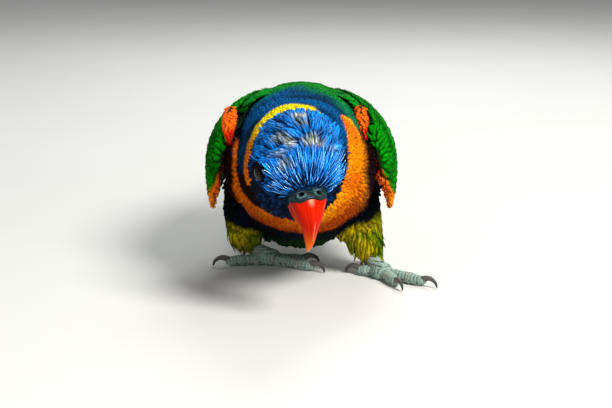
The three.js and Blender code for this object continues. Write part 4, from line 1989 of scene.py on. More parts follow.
@dataclass
class BodyCoat(Coat):
    """Contour feathers of neck, breast, back, belly and tail root."""

    stretch: Stretch = Stretch.NECK
    finest: float = 0.84
    shoulder: Point = (-26.0, 50.0, -19.0)
    waist: float = 46.0
    lowest: float = 9.0

    def region(self, points: Array, normals: Array) -> Array:
        """The neck ahead of the shoulders, or the back or the belly behind them.

        Args:
            points: places on the skin.
            normals: the skin's normals there; not used here.

        Returns:
            Which places are in it.
        """
        y, z, lean = self.shoulder
        lean = math.radians(lean)
        beyond = (points[:, 1] - y) * math.cos(lean) + (points[:, 2] - z) * math.sin(lean)
        covered = self.markings.hooded(points) | (self.markings.thighs(points) > 0.5)
        upper = points[:, 2] > self.waist
        behind = beyond >= 0
        parts = {Stretch.NECK: beyond < 0, Stretch.BACK: behind & upper, Stretch.BELLY: behind & ~upper}
        return ~covered & parts[self.stretch] & (points[:, 2] > self.lowest)

    def gap(self, points: Array) -> Array:
        """Close on the neck, wider along the back.

        Args:
            points: places on the skin.

        Returns:
            The gap at each.
        """
        distance, _ = self.markings.rings(points)
        first, tailwards = self.stretch.value
        wide = 0.25 * smoothstep(22, 30, distance) + first
        collar, _ = self.markings.collar_mask(points)
        return self.finest - 0.2 * collar + wide + tailwards * smoothstep(-25, 30, points[:, 1])

    def grow(self, points: Array, normals: Array, rng: Rng) -> Roots:
        """Feathers that overlap like tiles, longest over the tail's root.

        Args:
            points: the roots.
            normals: the skin's normals there.
            rng: the seeded generator.

        Returns:
            The feathers.
        """
        count = len(points)
        _, y, z = points.T
        distance, _ = self.markings.rings(points)
        collar, _ = self.markings.collar_mask(points)
        lay = turned(flow(points, normals), normals, rng.normal(0, 0.07, count))
        back = smoothstep(-25, 10, y)
        rump = smoothstep(42, 60, y) * smoothstep(74, 64, y)
        belly = smoothstep(24, 15, z) * smoothstep(-0.3, -0.8, normals[:, 2])
        length = 4.6 + 1.4 * smoothstep(20, 28, distance) + 2.4 * back + 3.5 * rump + 2.0 * belly
        length = length * (1 + 0.08 * rng.standard_normal(count)) * (1 - 0.25 * collar)
        width = 1.9 + 0.3 * (self.stretch is not Stretch.NECK) + 0.3 * smoothstep(20, 28, distance)
        width = width + 0.7 * back + 0.6 * rump
        high = 1.0 + 0.08 * rng.random(count) - 0.05 * back - 0.2 * smoothstep(60, 74, y)
        high = high + self.markings.flank(points) * (2.2 + 1.2 * rng.random(count))
        high = high + belly * (1.2 + 2.4 * rng.random(count))
        curl = 0.04 * rng.standard_normal(count)
        curl = curl + 0.3 * (rng.random(count) < 0.03) * (1 - back) * (1 - collar)
        shade = tones(rng, count, 0.09)
        rim = rng.uniform(0.72, 1.0, (count, 1)) * (1 - 0.2 * back)[:, None]
        return Roots(points, normals, lay, width, length, 0.15, high, curl, shade, rim)


@dataclass
class ScapularCoat(Coat):
    """Shoulder feathers that spread from the back over the folded wing's top edge."""

    side: float = 1.0
    finest: float = 1.6

    def region(self, points: Array, normals: Array) -> Array:
        """A band beside the back on one side.

        Args:
            points: places on the skin.
            normals: the skin's normals there.

        Returns:
            Which places are in it.
        """
        x, y, z = points.T
        band = (x * self.side > 9.5) & (x * self.side < 19.5) & (normals[:, 2] > 0.3)
        return band & (y > -5) & (y < 38) & (z > 54)

    def grow(self, points: Array, normals: Array, rng: Rng) -> Roots:
        """Broad feathers that lean outwards and back, their tips clear of the body.

        Args:
            points: the roots.
            normals: the skin's normals there.
            rng: the seeded generator.

        Returns:
            The feathers.
        """
        count = len(points)
        x, y, _ = points.T
        way = np.broadcast_to(np.array([self.side * 0.85, 0.85, -0.2]), points.shape)
        lay = turned(tangent(way, normals), normals, rng.normal(0, 0.09, count))
        share = smoothstep(9, 17, x * self.side) * smoothstep(38, 20, y)
        length = (7.0 + 3.0 * smoothstep(-10, 20, y)) * (1 + 0.08 * rng.standard_normal(count))
        width = 3.4 + 0.8 * smoothstep(-10, 20, y)
        high = 1.7 + 2.4 * share + 0.2 * rng.random(count) - 0.7 * smoothstep(20, 38, y)
        curl = 0.1 * rng.standard_normal(count)
        shade = tones(rng, count, 0.1)
        rim = rng.uniform(0.8, 1.0, (count, 1))
        return Roots(points, normals, lay, width, length, 0.5 + 1.7 * share, high, curl, shade, rim)

    def paint(self, points: Array, ups: Array) -> Array:
        """Green like the back, darkened in patches."""
        patch = self.markings.patchy(points)
        return blend(Tone.MANTLE, Tone.MANTLE_DARK, smoothstep(0.45, 0.8, patch) * 0.7)


@dataclass
class ThighCoat(Coat):
    """Soft hanging feathers of one thigh."""

    side: float = 1.0
    finest: float = 1.1

    def region(self, points: Array, normals: Array) -> Array:
        """The thigh below the belly on one side."""
        return (self.markings.thighs(points) > 0.5) & (points[:, 0] * self.side > 0) & (points[:, 2] > 5)

    def grow(self, points: Array, normals: Array, rng: Rng) -> Roots:
        """Feathers that hang down and a little back.

        Args:
            points: the roots.
            normals: the skin's normals there.
            rng: the seeded generator.

        Returns:
            The feathers.
        """
        count = len(points)
        down = np.broadcast_to(np.array([0.0, 0.22, -1.0]), points.shape)
        lay = turned(tangent(down, normals), normals, rng.normal(0, 0.16, count))
        length = 7.0 * (1 + 0.14 * rng.standard_normal(count))
        length = np.minimum(length * smoothstep(4.0, 12.0, points[:, 2] + 4.5), points[:, 2] - 3.6)
        width = 1.6 + 0.2 * rng.standard_normal(count)
        hang = smoothstep(24, 12, points[:, 2])
        hang = hang * (0.5 + 0.5 * smoothstep(16, 24, points[:, 0] * self.side))
        hang = hang * smoothstep(-0.6, 0.0, normals[:, 2])
        high = 1.3 + 0.35 * rng.random(count) + hang * (0.8 + 1.8 * rng.random(count))
        high = high - smoothstep(-0.3, -0.8, normals[:, 2])
        curl = 0.25 * rng.standard_normal(count)
        shade = tones(rng, count, 0.14)
        rim = rng.uniform(0.75, 1.15, (count, 1))
        return Roots(points, normals, lay, width, length.clip(2, 9), 0.1, high, curl, shade, rim)

    def paint(self, points: Array, ups: Array) -> Array:
        """Yellow with green bars."""
        return self.markings.thigh(points)


@dataclass
class WingCoat(Coat):
    """Coverts of one wing, over it or under it."""

    wing: WingShape | None = None
    outer: bool = True
    finest: float = 1.2
    until: float = 0.5

    def region(self, points: Array, normals: Array) -> Array:
        """The outer face with its leading edge, or the inner face.

        Args:
            points: places on the skin.
            normals: the skin's normals there.

        Returns:
            Which places are in it.
        """
        along, down, _ = self.wing.find(points)
        outward = (normals[:, 0] * self.wing.side) > -0.3
        rear = self.until + 0.2 * smoothstep(0.8, 0.4, down) * self.outer
        rear = rear + 0.08 * (self.markings.patchy(points) - 0.5)
        return (outward == self.outer) & (along < rear)

    def gap(self, points: Array) -> Array:
        """Scale-like at the leading edge, wider behind."""
        along, _, _ = self.wing.find(points)
        return self.finest + 1.5 * smoothstep(0.04, 0.4, along)

    def paint(self, points: Array, ups: Array) -> Array:
        """Green outside; orange at the bend and low down inside, near black between as painted shade.

        Args:
            points: places on the vanes.
            ups: which way the skin faces there.

        Returns:
            A colour for each.
        """
        along, down, out = self.wing.find(points)
        noise, patch = self.markings.ragged(points), self.markings.patchy(points)
        green = blend(Tone.WING, Tone.WING_DARK, smoothstep(0.4, 0.75, patch) * 0.7)
        low = smoothstep(0.72, 0.98, down + 0.12 * (noise - 0.5)) * smoothstep(0.5, 0.1, along)
        green = blend(green, Tone.WING_YELLOW, low * 0.6)
        reach, front, z = np.abs(points[:, 0]), points[:, 1], points[:, 2]
        facing = ups[:, 0] * self.wing.side + 0.1 * (noise - 0.5)
        inside = smoothstep(-0.15, -0.45, facing) * smoothstep(0.6, -0.2, out)
        inside = inside * (1 - smoothstep(0.16, 0.08, along) * smoothstep(47, 50, z))
        lower = smoothstep(0.46, 0.58, down + 0.1 * (noise - 0.5)) * smoothstep(0.45, 0.28, along)
        # The orange-red lining is painted darker red on the bird's right wing and near black between its
        # bright parts: painted shade.
        red = blend(Tone.COVERT_RED, Tone.MAROON, 0.3 if self.wing.side > 0 else 0.8)
        under = blend(red, Tone.COVERT_ORANGE, smoothstep(45, 41, z))
        under = blend(under, Tone.COVERT_AMBER, smoothstep(38, 32, z))
        dark = blend(Tone.BELLY, Tone.MAROON, smoothstep(0.3, 0.45, down))
        dark = blend(dark, Tone.WING_DARK, smoothstep(0.2, 0.36, along))
        colour = blend(green, blend(dark, under, lower), inside)
        edge = 29.4 + 0.45 * (48 - z) + 0.8 * (noise - 0.5)
        tuft = smoothstep(edge + 0.3, edge - 0.3, reach) * smoothstep(51, 49, z)
        tuft = tuft * smoothstep(17, 6, front)
        tuft = tuft * np.maximum(smoothstep(0.85, 0.6, facing), smoothstep(9, 3, front))
        return blend(colour, under, tuft)

    def grow(self, points: Array, normals: Array, rng: Rng) -> Roots:
        """Coverts that lie along the wing, longer towards the flight feathers.

        Args:
            points: the roots.
            normals: the skin's normals there.
            rng: the seeded generator.

        Returns:
            The feathers.
        """
        count = len(points)
        along, down, _ = self.wing.find(points)
        ahead = self.wing.place(np.clip(along + 0.03, 0, 1), down, 0.0)
        behind = self.wing.place(np.clip(along - 0.03, 0, 1), down, 0.0)
        lay = turned(tangent(ahead - behind, normals), normals, rng.normal(0, 0.06, count))
        length = 3.0 + 8.3 * smoothstep(0.03, 0.42, along) + 4 * smoothstep(0.5, 0.65, along)
        length = length * (1 - 0.62 * smoothstep(0.25, 0.05, down) * smoothstep(0.25, 0.45, along))
        length = length + 0.25 * rng.standard_normal(count)
        rim_of_wing = smoothstep(0.12, 0.03, down) * smoothstep(0.25, 0.4, along)
        width = (2.2 + 2.9 * smoothstep(0.03, 0.42, along)) * (1 - 0.5 * rim_of_wing)
        high = 0.85 + 0.1 * rng.random(count) + (not self.outer) * 0.7 * smoothstep(0.2, 0.05, along)
        curl = 0.05 * rng.standard_normal(count)
        shade = tones(rng, count, 0.1)
        rim = rng.uniform(0.55, 0.9, (count, 1))
        return Roots(points, normals, lay, width, length, 0.08, high, curl, shade, rim)


@dataclass
class BendCoat(Coat):
    """Bright coverts crowded on the bend of one wing."""

    finest: float = 0.58

    def region(self, points: Array, normals: Array) -> Array:
        """The whole mound."""
        return np.full(len(points), True)

    def grow(self, points: Array, normals: Array, rng: Rng) -> Roots:
        """Short scales that hang down and a little back.

        Args:
            points: the roots.
            normals: the skin's normals there.
            rng: the seeded generator.

        Returns:
            The feathers.
        """
        count = len(points)
        down = np.broadcast_to(np.array([0.0, 0.4, -1.0]), points.shape)
        lay = turned(tangent(down, normals), normals, rng.normal(0, 0.1, count))
        length = 2.1 + 0.15 * rng.standard_normal(count)
        high = 0.35 + 0.06 * rng.random(count)
        shade = tones(rng, count, 0.06)
        rim = rng.uniform(0.9, 1.05, (count, 1))
        return Roots(points, normals, lay, 1.8, length, 0.08, high, 0.0, shade, rim)

    def paint(self, points: Array, ups: Array) -> Array:
        """Orange above, red below, darkest at the lower end as painted shade.

        Args:
            points: places on the vanes.
            ups: which way the skin faces there; not used here.

        Returns:
            A colour for each.
        """
        height = points[:, 2] + 2 * (self.markings.ragged(points) - 0.5)
        # The dark red at the lower end is painted shade.
        red = blend(Tone.MAROON, Tone.COVERT_RED, smoothstep(53.5, 56.5, height))
        return blend(red, Tone.COVERT_ORANGE, smoothstep(58.5, 61.5, height))


@dataclass
class Skin:
    """One skin under the whole coat, from face to tail root and out along both wings."""

    markings: Markings
    cores: Sequence[Core]
    replaced: Sequence[str]
    voxel: float = 0.8
    finish: BareSkin = BareSkin("bare_skin", roughness=0.8, specular=0.08)

    def build(self) -> Object:
        """Fuses the cores and paints them with the coat's markings.

        Returns:
            The skin.
        """
        whole = bmesh.new()
        for core in self.cores:
            whole.from_mesh(core.made.data)
        made = remeshed(bmesh_object("skin", whole), self.voxel, 2)
        write_attributes(made.data, "FLOAT_COLOR", tint=self.tints(Surface.of(made.data)))
        return dress(made, self.finish.build(), self.replaced)

    def tints(self, surface: Surface) -> Array:
        """The coat's markings at each place, darkened as painted shade between feathers.

        Args:
            surface: the skin.

        Returns:
            A colour for each point.
        """
        points, normals = surface.points, surface.normals
        colour = self.markings.trunk(points)
        colour = blend(colour, self.markings.hood(points), self.markings.hooded(points).astype(float))
        for side in SIDES.values():
            wing = WingShape(side)
            _, _, out = wing.find(points)
            on = (np.abs(out) < 3.5) & (points[:, 0] * side > 9) & (points[:, 1] > -18)
            # The inner face of the wings' skin is painted dark red to dark green as shade.
            under = blend(Tone.MAROON, Tone.WING_DARK, smoothstep(4, 18, points[:, 1]))
            wings = blend(Tone.WING_DARK, under, smoothstep(0.1, -0.2, normals[:, 0] * side))
            colour = np.where(on[:, None], wings, colour)
        parted = self.markings.parted(POSTURE.to_head(points))
        # Painted shade: skin seen only between feathers is darkened, less where the coat parts.
        return colour * (0.68 + 0.2 * parted)[:, None]


VANE_EDGE = np.array([-1, -0.5, 0, 0.5, 1, 0.5, 0, -0.5])
VANE_LIFT = np.array([0, 0.8, 1.0, 0.8, 0, -0.8, -1.0, -0.8])
VANE_UNDERSIDE = np.array([0, 0, 0, 0, 0, 1, 1, 1])


@dataclass(frozen=True)
class Quill:
    """One flight feather on a folded wing, in shares along and down the wing."""

    root: tuple[float, float]
    tip: tuple[float, float]
    half: float
    layer: float


@dataclass
class FlightFeathers:
    """Secondaries and primaries of one folded wing, each a long vane of its own."""

    side_name: str
    wing: WingShape
    finish: Material
    secondaries: int = 9
    primaries: int = 8
    stations: int = 18
    sheet: float = 0.16
    step: float = 0.16

    def quills(self) -> list[Quill]:
        """The feathers from the innermost, on top, to the outermost.

        Returns:
            Where each feather lies.
        """
        found = []
        for i in range(self.secondaries):
            share = i / (self.secondaries - 1)
            root = (0.30 - 0.02 * share, 0.10 + 0.80 * share)
            tip = (0.50 + 0.2 * share, 0.2 + 0.72 * share)
            found.append(Quill(root, tip, 3.3, 1.5 - 0.8 * share))
        for i in range(self.primaries):
            share = i / (self.primaries - 1)
            root = (0.40, 0.42 + 0.48 * share)
            tip = (0.70 + 0.30 * share**0.85, 0.62 + 0.1 * share)
            found.append(Quill(root, tip, 3.1, 0.55 - 1.2 * share))
        return found

    def build(self) -> Object:
        """Lofts every feather and joins them.

        Returns:
            The feathers as one piece.
        """
        share = np.linspace(0, 1, self.stations)
        sheaf = Sheaf()
        tints = []
        for number, quill in enumerate(self.quills()):
            along, across = sheaf.add(self._rings(quill, share), share, VANE_EDGE)
            tints.append(self._tints(number, along, across))
        made = sheaf.build(f"flight_{self.side_name}", "across")
        tint = np.concatenate(tints)
        write_attributes(made.data, "FLOAT_COLOR", tint=tint, rim=tint * 0.4, gleam=tint * 0.3)
        return dress(made, self.finish, [f"primaries_{self.side_name}"])

    def _rings(self, quill: Quill, share: Array) -> Array:
        """Rings of one feather.

        Args:
            quill: where the feather lies.
            share: how far along it each ring is.

        Returns:
            The rings.
        """
        stops = [0, 0.08, 0.25, 0.7, 0.84, 0.93, 0.98, 1]
        profile = np.interp(share, stops, [0.25, 0.55, 0.9, 1.0, 0.9, 0.66, 0.34, 0.1])
        t = quill.root[0] + (quill.tip[0] - quill.root[0]) * share
        w = quill.root[1] + (quill.tip[1] - quill.root[1]) * share
        half = quill.half * profile / self.wing.height(t)
        lift = VANE_LIFT * self.sheet
        lean = -VANE_EDGE * 0.10
        out = self.wing.thick(t) * 0.12 + quill.layer * self.step * 2
        down = np.clip(w[:, None] + half[:, None] * VANE_EDGE, 0.01, 0.99)
        return self.wing.place(t[:, None], down, out[:, None] + lift + lean)

    def _tints(self, number: int, along: Array, across: Array) -> Array:
        """Green outer vanes, dusky inner vanes and tips.

        Args:
            number: the feather's place in the row.
            along: how far along it each point is.
            across: how far across it each point is.

        Returns:
            A colour for each point.
        """
        inner = smoothstep(-0.1, 0.5, across * -1.0)
        green = blend(Tone.QUILL_GREEN, Tone.WING, np.full(len(along), (number % 3) / 3))
        dusky = blend(green, Tone.QUILL, inner * (0.25 if number < self.secondaries else 0.5))
        if number >= self.secondaries:
            dusky = blend(dusky, Tone.QUILL, smoothstep(0.45, 0.95, along) * 0.6)
        return dusky


@dataclass
class TailFan:
    """Twelve graduated tail feathers, the middle pair longest and on top."""

    finish: Material
    line: tuple[Point, ...] = (
        (0, 66, 48.6), (0, 92, 44.6), (0, 130, 39.6), (0, 164, 35.4), (0, 189, 32.6),
    )
    arch: float = 2.2
    widest: float = 13.0
    pairs: int = 6
    stations: int = 22
    sheet: float = 0.16

    def build(self) -> Object:
        """Lofts the pairs from the middle to the outermost.

        Returns:
            The tail as one piece.
        """
        route = Route(self.line)
        share = np.linspace(0, 1, self.stations)
        under = np.concatenate([np.tile(VANE_UNDERSIDE, self.stations), [0, 0]])
        sheaf = Sheaf()
        tints = []
        for pair, side in ((pair, side) for pair in range(self.pairs) for side in SIDES.values()):
            along, across = sheaf.add(self._rings(route, pair, side, share), share, VANE_EDGE)
            tints.append(self._tints(pair, along, across * side, under))
        made = sheaf.build("tail_fan", "across")
        tint = np.concatenate(tints)
        write_attributes(made.data, "FLOAT_COLOR", tint=tint, rim=tint * 0.65, gleam=tint * 0.35)
        return dress(made, self.finish, ["tail"])

    def _rings(self, route: Route, pair: int, side: float, share: Array) -> Array:
        """Rings of one feather.

        Args:
            route: the tail's middle line.
            pair: the feather's pair, counted from the middle.
            side: -1 for the bird's right and 1 for its left.
            share: how far along it each ring is.

        Returns:
            The rings.
        """
        rank = pair / (self.pairs - 1)
        reach = (1.0 - 0.52 * rank**0.9) * share
        spread = np.interp(reach, [0, 0.3, 1], [0.35, 0.85, 1.0])
        centre = side * (1.9 + 7.6 * rank) * spread
        shape = [0.5, 0.8, 1.0, 1.0, 0.8, 0.45, 0.1]
        half = 3.6 * np.interp(share, [0, 0.1, 0.3, 0.7, 0.88, 0.96, 1], shape)
        lift = VANE_LIFT * self.sheet
        x = centre[:, None] + half[:, None] * VANE_EDGE
        middle = route.at(reach)
        rise = 0.9 - 0.3 * pair - 0.18 * (side > 0) + lift - self.arch * (x / self.widest) ** 2
        return np.stack([x, np.broadcast_to(middle[:, None, 1], x.shape), middle[:, None, 2] + rise], -1)

    def _tints(self, pair: int, along: Array, outward: Array, under: Array) -> Array:
        """Green above with bluer middles, olive-yellow underneath.

        Args:
            pair: the feather's pair.
            along: how far along it each point is.
            outward: how far outwards across it each point is.
            under: 1 for points on its underside.

        Returns:
            A colour for each point.
        """
        top = blend(Tone.TAIL, Tone.TAIL_BLUE, smoothstep(0.2, 0.9, along) * 0.45)
        top = blend(top, Tone.QUILL, smoothstep(0.1, -0.8, outward) * 0.35 * (pair > 0))
        low = blend(Tone.TAIL_UNDER, Tone.QUILL_GREEN, smoothstep(0.6, 1.0, along) * 0.4)
        return blend(top, low, under)


@dataclass
class Eye:
    """One eye and the bare lids round it, in the head's frame."""

    side_name: str
    side: float
    radius: float = 4.1
    forward: Point = (1.0, -0.28, 0.16)
    opening: float = 0.64
    lid_end: float = 1.1
    lid_gap: float = 0.03
    lid_thick: float = 0.2
    pole: float = 0.03
    cornea: tuple[float, float] = (0.12, 0.55)
    rings: int = 40
    sides: int = 72

    def _frame(self) -> tuple[Array, Array, Array, Array]:
        """The eye's middle and its axis, with two directions across it.

        Returns:
            The middle and the three directions.
        """
        x, y, z = POSTURE.eye
        axis = unit(np.array(self.forward) * np.array([self.side, 1, 1]))
        across = unit(np.cross(axis, UP))
        return np.array([x * self.side, y, z]), axis, across, np.cross(across, axis)

    def _shell(self, polar: Array, radius: Array) -> Array:
        """Rings of points at angles from the axis.

        Args:
            polar: the angles.
            radius: how far from the middle each point is.

        Returns:
            The rings.
        """
        middle, axis, across, over = self._frame()
        turn = 2 * np.pi * np.arange(self.sides) / self.sides
        around = across * np.cos(turn)[:, None] + over * np.sin(turn)[:, None]
        way = axis * np.cos(polar)[..., None] + around * np.sin(polar)[..., None]
        return POSTURE.from_head(middle + way * radius[..., None])

    def build_ball(self, finish: Material) -> Object:
        """The eyeball, with a cornea that bulges over the pupil.

        Args:
            finish: the piece's material.

        Returns:
            The eyeball.
        """
        polar = np.linspace(self.pole, np.pi - self.pole, self.rings)
        bulge = self.cornea[0] * np.exp(-((polar / self.cornea[1]) ** 2))
        grid = np.repeat(polar[:, None], self.sides, 1)
        rings = self._shell(grid, np.repeat((self.radius - 0.1 + bulge)[:, None], self.sides, 1))
        made = mesh_object(f"eyeball_{self.side_name}", *loft(rings))
        write_attributes(made.data, "FLOAT", polar=np.concatenate([grid.ravel(), [0, np.pi]]))
        return dress(made, finish, [f"eye_{self.side_name}"])

    def build_lids(self, finish: Material) -> Object:
        """A rolled rim of bare skin with fine folds, open in front.

        Args:
            finish: the piece's material.

        Returns:
            The lids.
        """
        turn = 2 * np.pi * np.arange(self.sides) / self.sides
        first = self.opening * (1 + 0.07 * np.cos(2 * turn) - 0.06 * np.sin(turn))
        steps = np.linspace(0, 1, 26)
        outer = first + (self.lid_end - first) * steps[:, None]
        folds = 0.07 * np.sin(steps * 26)[:, None] * (0.6 + 0.4 * np.sin(turn * 9))
        folds = folds * np.sin(np.pi * steps)[:, None]
        puff = self.lid_thick * (0.75 + 0.5 * np.exp(-((steps - 0.12) ** 2) / 0.012))
        top = self.radius + self.lid_gap + puff[:, None] + folds
        bottom = np.full_like(outer, self.radius + self.lid_gap - 0.15)
        polar = np.concatenate([outer, outer[::-1]])
        radius = np.concatenate([top, bottom])
        rings = self._shell(polar, radius)
        count = len(rings)
        faces = []
        for i in range(count):
            for j in range(self.sides):
                a, b = i * self.sides + j, i * self.sides + (j + 1) % self.sides
                after = ((i + 1) % count - i) * self.sides
                faces.append((a, b, b + after, a + after))
        made = mesh_object(f"lids_{self.side_name}", rings.reshape(-1, 3), faces)
        tidy = bmesh.new()
        tidy.from_mesh(made.data)
        bmesh.ops.recalc_face_normals(tidy, faces=tidy.faces)
        tidy.to_mesh(made.data)
        tidy.free()
        depth = np.concatenate([smoothstep(0.03, -0.06, folds), np.ones_like(folds)])
        write_attributes(made.data, "FLOAT", groove=depth.ravel())
        return dress(made, finish)


@dataclass
class Bill:
    """Hooked upper bill, short lower bill and the cere they grow from, in the head's frame."""

    arc: tuple[Point, ...] = (
        (0, -12.5, 1.3), (0, -17.2, 0.6), (0, -21.2, -1.6), (0, -25, -5.8), (0, -27.4, -10),
        (0, -28.3, -13.9),
    )
    cere_end: float = 0.175
    cere_wide: tuple[float, ...] = (7, 6.6)
    cere_deep: tuple[float, ...] = (5.7, 5.3)
    upper_wide: tuple[float, ...] = (6.7, 4.7, 2.8, 1.7, 0.6)
    upper_deep: tuple[float, ...] = (5.0, 4.5, 3.1, 1.7, 0.35)
    lower_arc: tuple[Point, ...] = (
        (0, -10, -7.0), (0, -15, -8.5), (0, -19, -9.1), (0, -22.4, -8.9),
    )
    lower_wide: tuple[float, ...] = (5.6, 4.8, 3.4, 1.4)
    lower_deep: tuple[float, ...] = (3.6, 3.2, 2.3, 0.7)
    nostril_apart: float = 6.3
    nostril_along: float = 0.13

    @staticmethod
    def _sections(route: Route, shares: Array) -> tuple[Array, Array, Array, Array]:
        """Where sections of the bill lie and which way they face.

        Args:
            route: the bill's middle line.
            shares: how far along it each section is.

        Returns:
            Middles, headings, and the directions across and over.
        """
        centres, heading = route.at(shares), route.heading(shares)
        across = np.broadcast_to(np.array([1.0, 0, 0]), centres.shape)
        over = unit(np.cross(across, heading))
        return centres, heading, across, over * np.where(over[:, 2:] < 0, -1, 1)

    def _horn(
        self, name: str, shares: Array, arc: Sequence, wide: Sequence, deep: Sequence, ridge: float
    ) -> Object:
        """One lofted bill half with its length stored on its points.

        Args:
            name: the piece's name.
            shares: how far along the arc each section is.
            arc: the half's middle line.
            wide: half widths from base to tip.
            deep: half depths from base to tip.
            ridge: how far a crest stands up along the top.

        Returns:
            The half, not dressed yet.
        """
        sides = 48
        size = (shares - shares[0]) / (shares[-1] - shares[0])
        centres, _, across, over = self._sections(Route(arc), shares)
        rings = tube(centres, across, over, Spline(wide)(size), Spline(deep)(size), sides, 2.25)
        angle = 2 * np.pi * np.arange(sides) / sides
        crest = ridge * np.exp(-(((angle - np.pi / 2) / 0.35) ** 2)) * np.sin(np.pi * size)[:, None]
        sheaf = Sheaf()
        sheaf.add(POSTURE.from_head(rings + over[:, None] * crest[..., None]), size, np.cos(angle))
        return sheaf.build(name, "around")

    def build_upper(self, finish: Material) -> Object:
        """The hooked upper half.

        Args:
            finish: the piece's material.

        Returns:
            The upper half.
        """
        shares = np.linspace(self.cere_end - 0.02, 1, 44)
        made = self._horn("bill_hook", shares, self.arc, self.upper_wide, self.upper_deep, 0.28)
        return dress(made, finish, ["bill_upper"])

    def build_lower(self, finish: Material) -> Object:
        """The short lower half, under the hook.

        Args:
            finish: the piece's material.

        Returns:
            The lower half.
        """
        shares = np.linspace(0, 1, 24)
        made = self._horn("bill_under", shares, self.lower_arc, self.lower_wide, self.lower_deep, 0.0)
        return dress(made, finish, ["bill_lower"])

    def build_cere(self, finish: Material) -> Object:
        """The bare swelling across the bill's base, with two rimmed nostrils.

        Args:
            finish: the piece's material.

        Returns:
            The cere.
        """
        sides, count = 128, 30
        shares = np.linspace(0, self.cere_end + 0.005, count)
        route = Route(self.arc)
        size = np.linspace(0, 1, count)
        centres, heading, across, over = self._sections(route, shares)
        round_off = np.sqrt(np.clip(1 - (np.clip(size - 0.8, 0, 1) / 0.21) ** 2, 0.0, 1))
        wide, deep = Spline(self.cere_wide)(size), Spline(self.cere_deep)(size)
        shrink = 0.9 + 0.1 * round_off
        rings = tube(centres, across, over, wide * shrink, deep * shrink, sides, 2.3)
        outward = unit(rings - centres[:, None])
        hole = route.at(self.nostril_along) + np.array([0, 0, 5.2])
        off = np.abs(rings) * [1, 0, 0] + rings * [0, 1, 1] - (hole + [self.nostril_apart / 2, 0, 0])
        distance = np.linalg.norm(off * np.array([0.8, 1.15, 0.7]), axis=-1)
        pit = smoothstep(0.85, 0.35, distance)
        rim = np.exp(-(((distance - 1.15) / 0.32) ** 2))
        wrinkle = Noise(31, 0.7)(rings.reshape(-1, 3) * [0.35, 1, 1]).reshape(rings.shape[:2]) - 0.5
        between = np.exp(-((rings[..., 0] / 2.7) ** 2)) * (outward[..., 2] > 0.3)
        ripple = np.sin(2 * np.pi * 7 * size)[:, None] * between
        rings = rings + outward * (0.34 * rim - 1.1 * pit + 0.3 * wrinkle + 0.1 * ripple)[..., None]
        from_top = np.abs(np.degrees(2 * np.pi * np.arange(sides) / sides) - 90)
        scallop = 0.5 * np.exp(-(((from_top - 31) / 15) ** 2)) - 0.35 * np.exp(-((from_top / 14) ** 2))
        rings = rings + heading[:, None] * (scallop * smoothstep(0.55, 0.95, size)[:, None])[..., None]
        made = mesh_object("cere_hide", *loft(POSTURE.from_head(rings)))
        # Pits and wrinkle valleys are stored deep for painted shade; rims and ripple crests below zero for
        # a painted highlight.
        dark = pit * 1.5 + smoothstep(0.12, -0.2, wrinkle) * 0.6 - 0.75 * ripple
        depth = np.clip(dark - 0.7 * rim * (1 - pit), -1, 1).ravel()
        write_attributes(made.data, "FLOAT", groove=np.concatenate([depth, [0, 0]]))
        return dress(made, finish, ["cere"])


class Toe(Enum):
    """The four toes: angle from straight ahead, length, and half thickness."""

    outer_front = (-15.0, 19.5, 2.45)
    inner_front = (19.0, 14.0, 2.25)
    outer_back = (203.0, 18.5, 2.4)
    inner_back = (156.0, 10.5, 2.2)


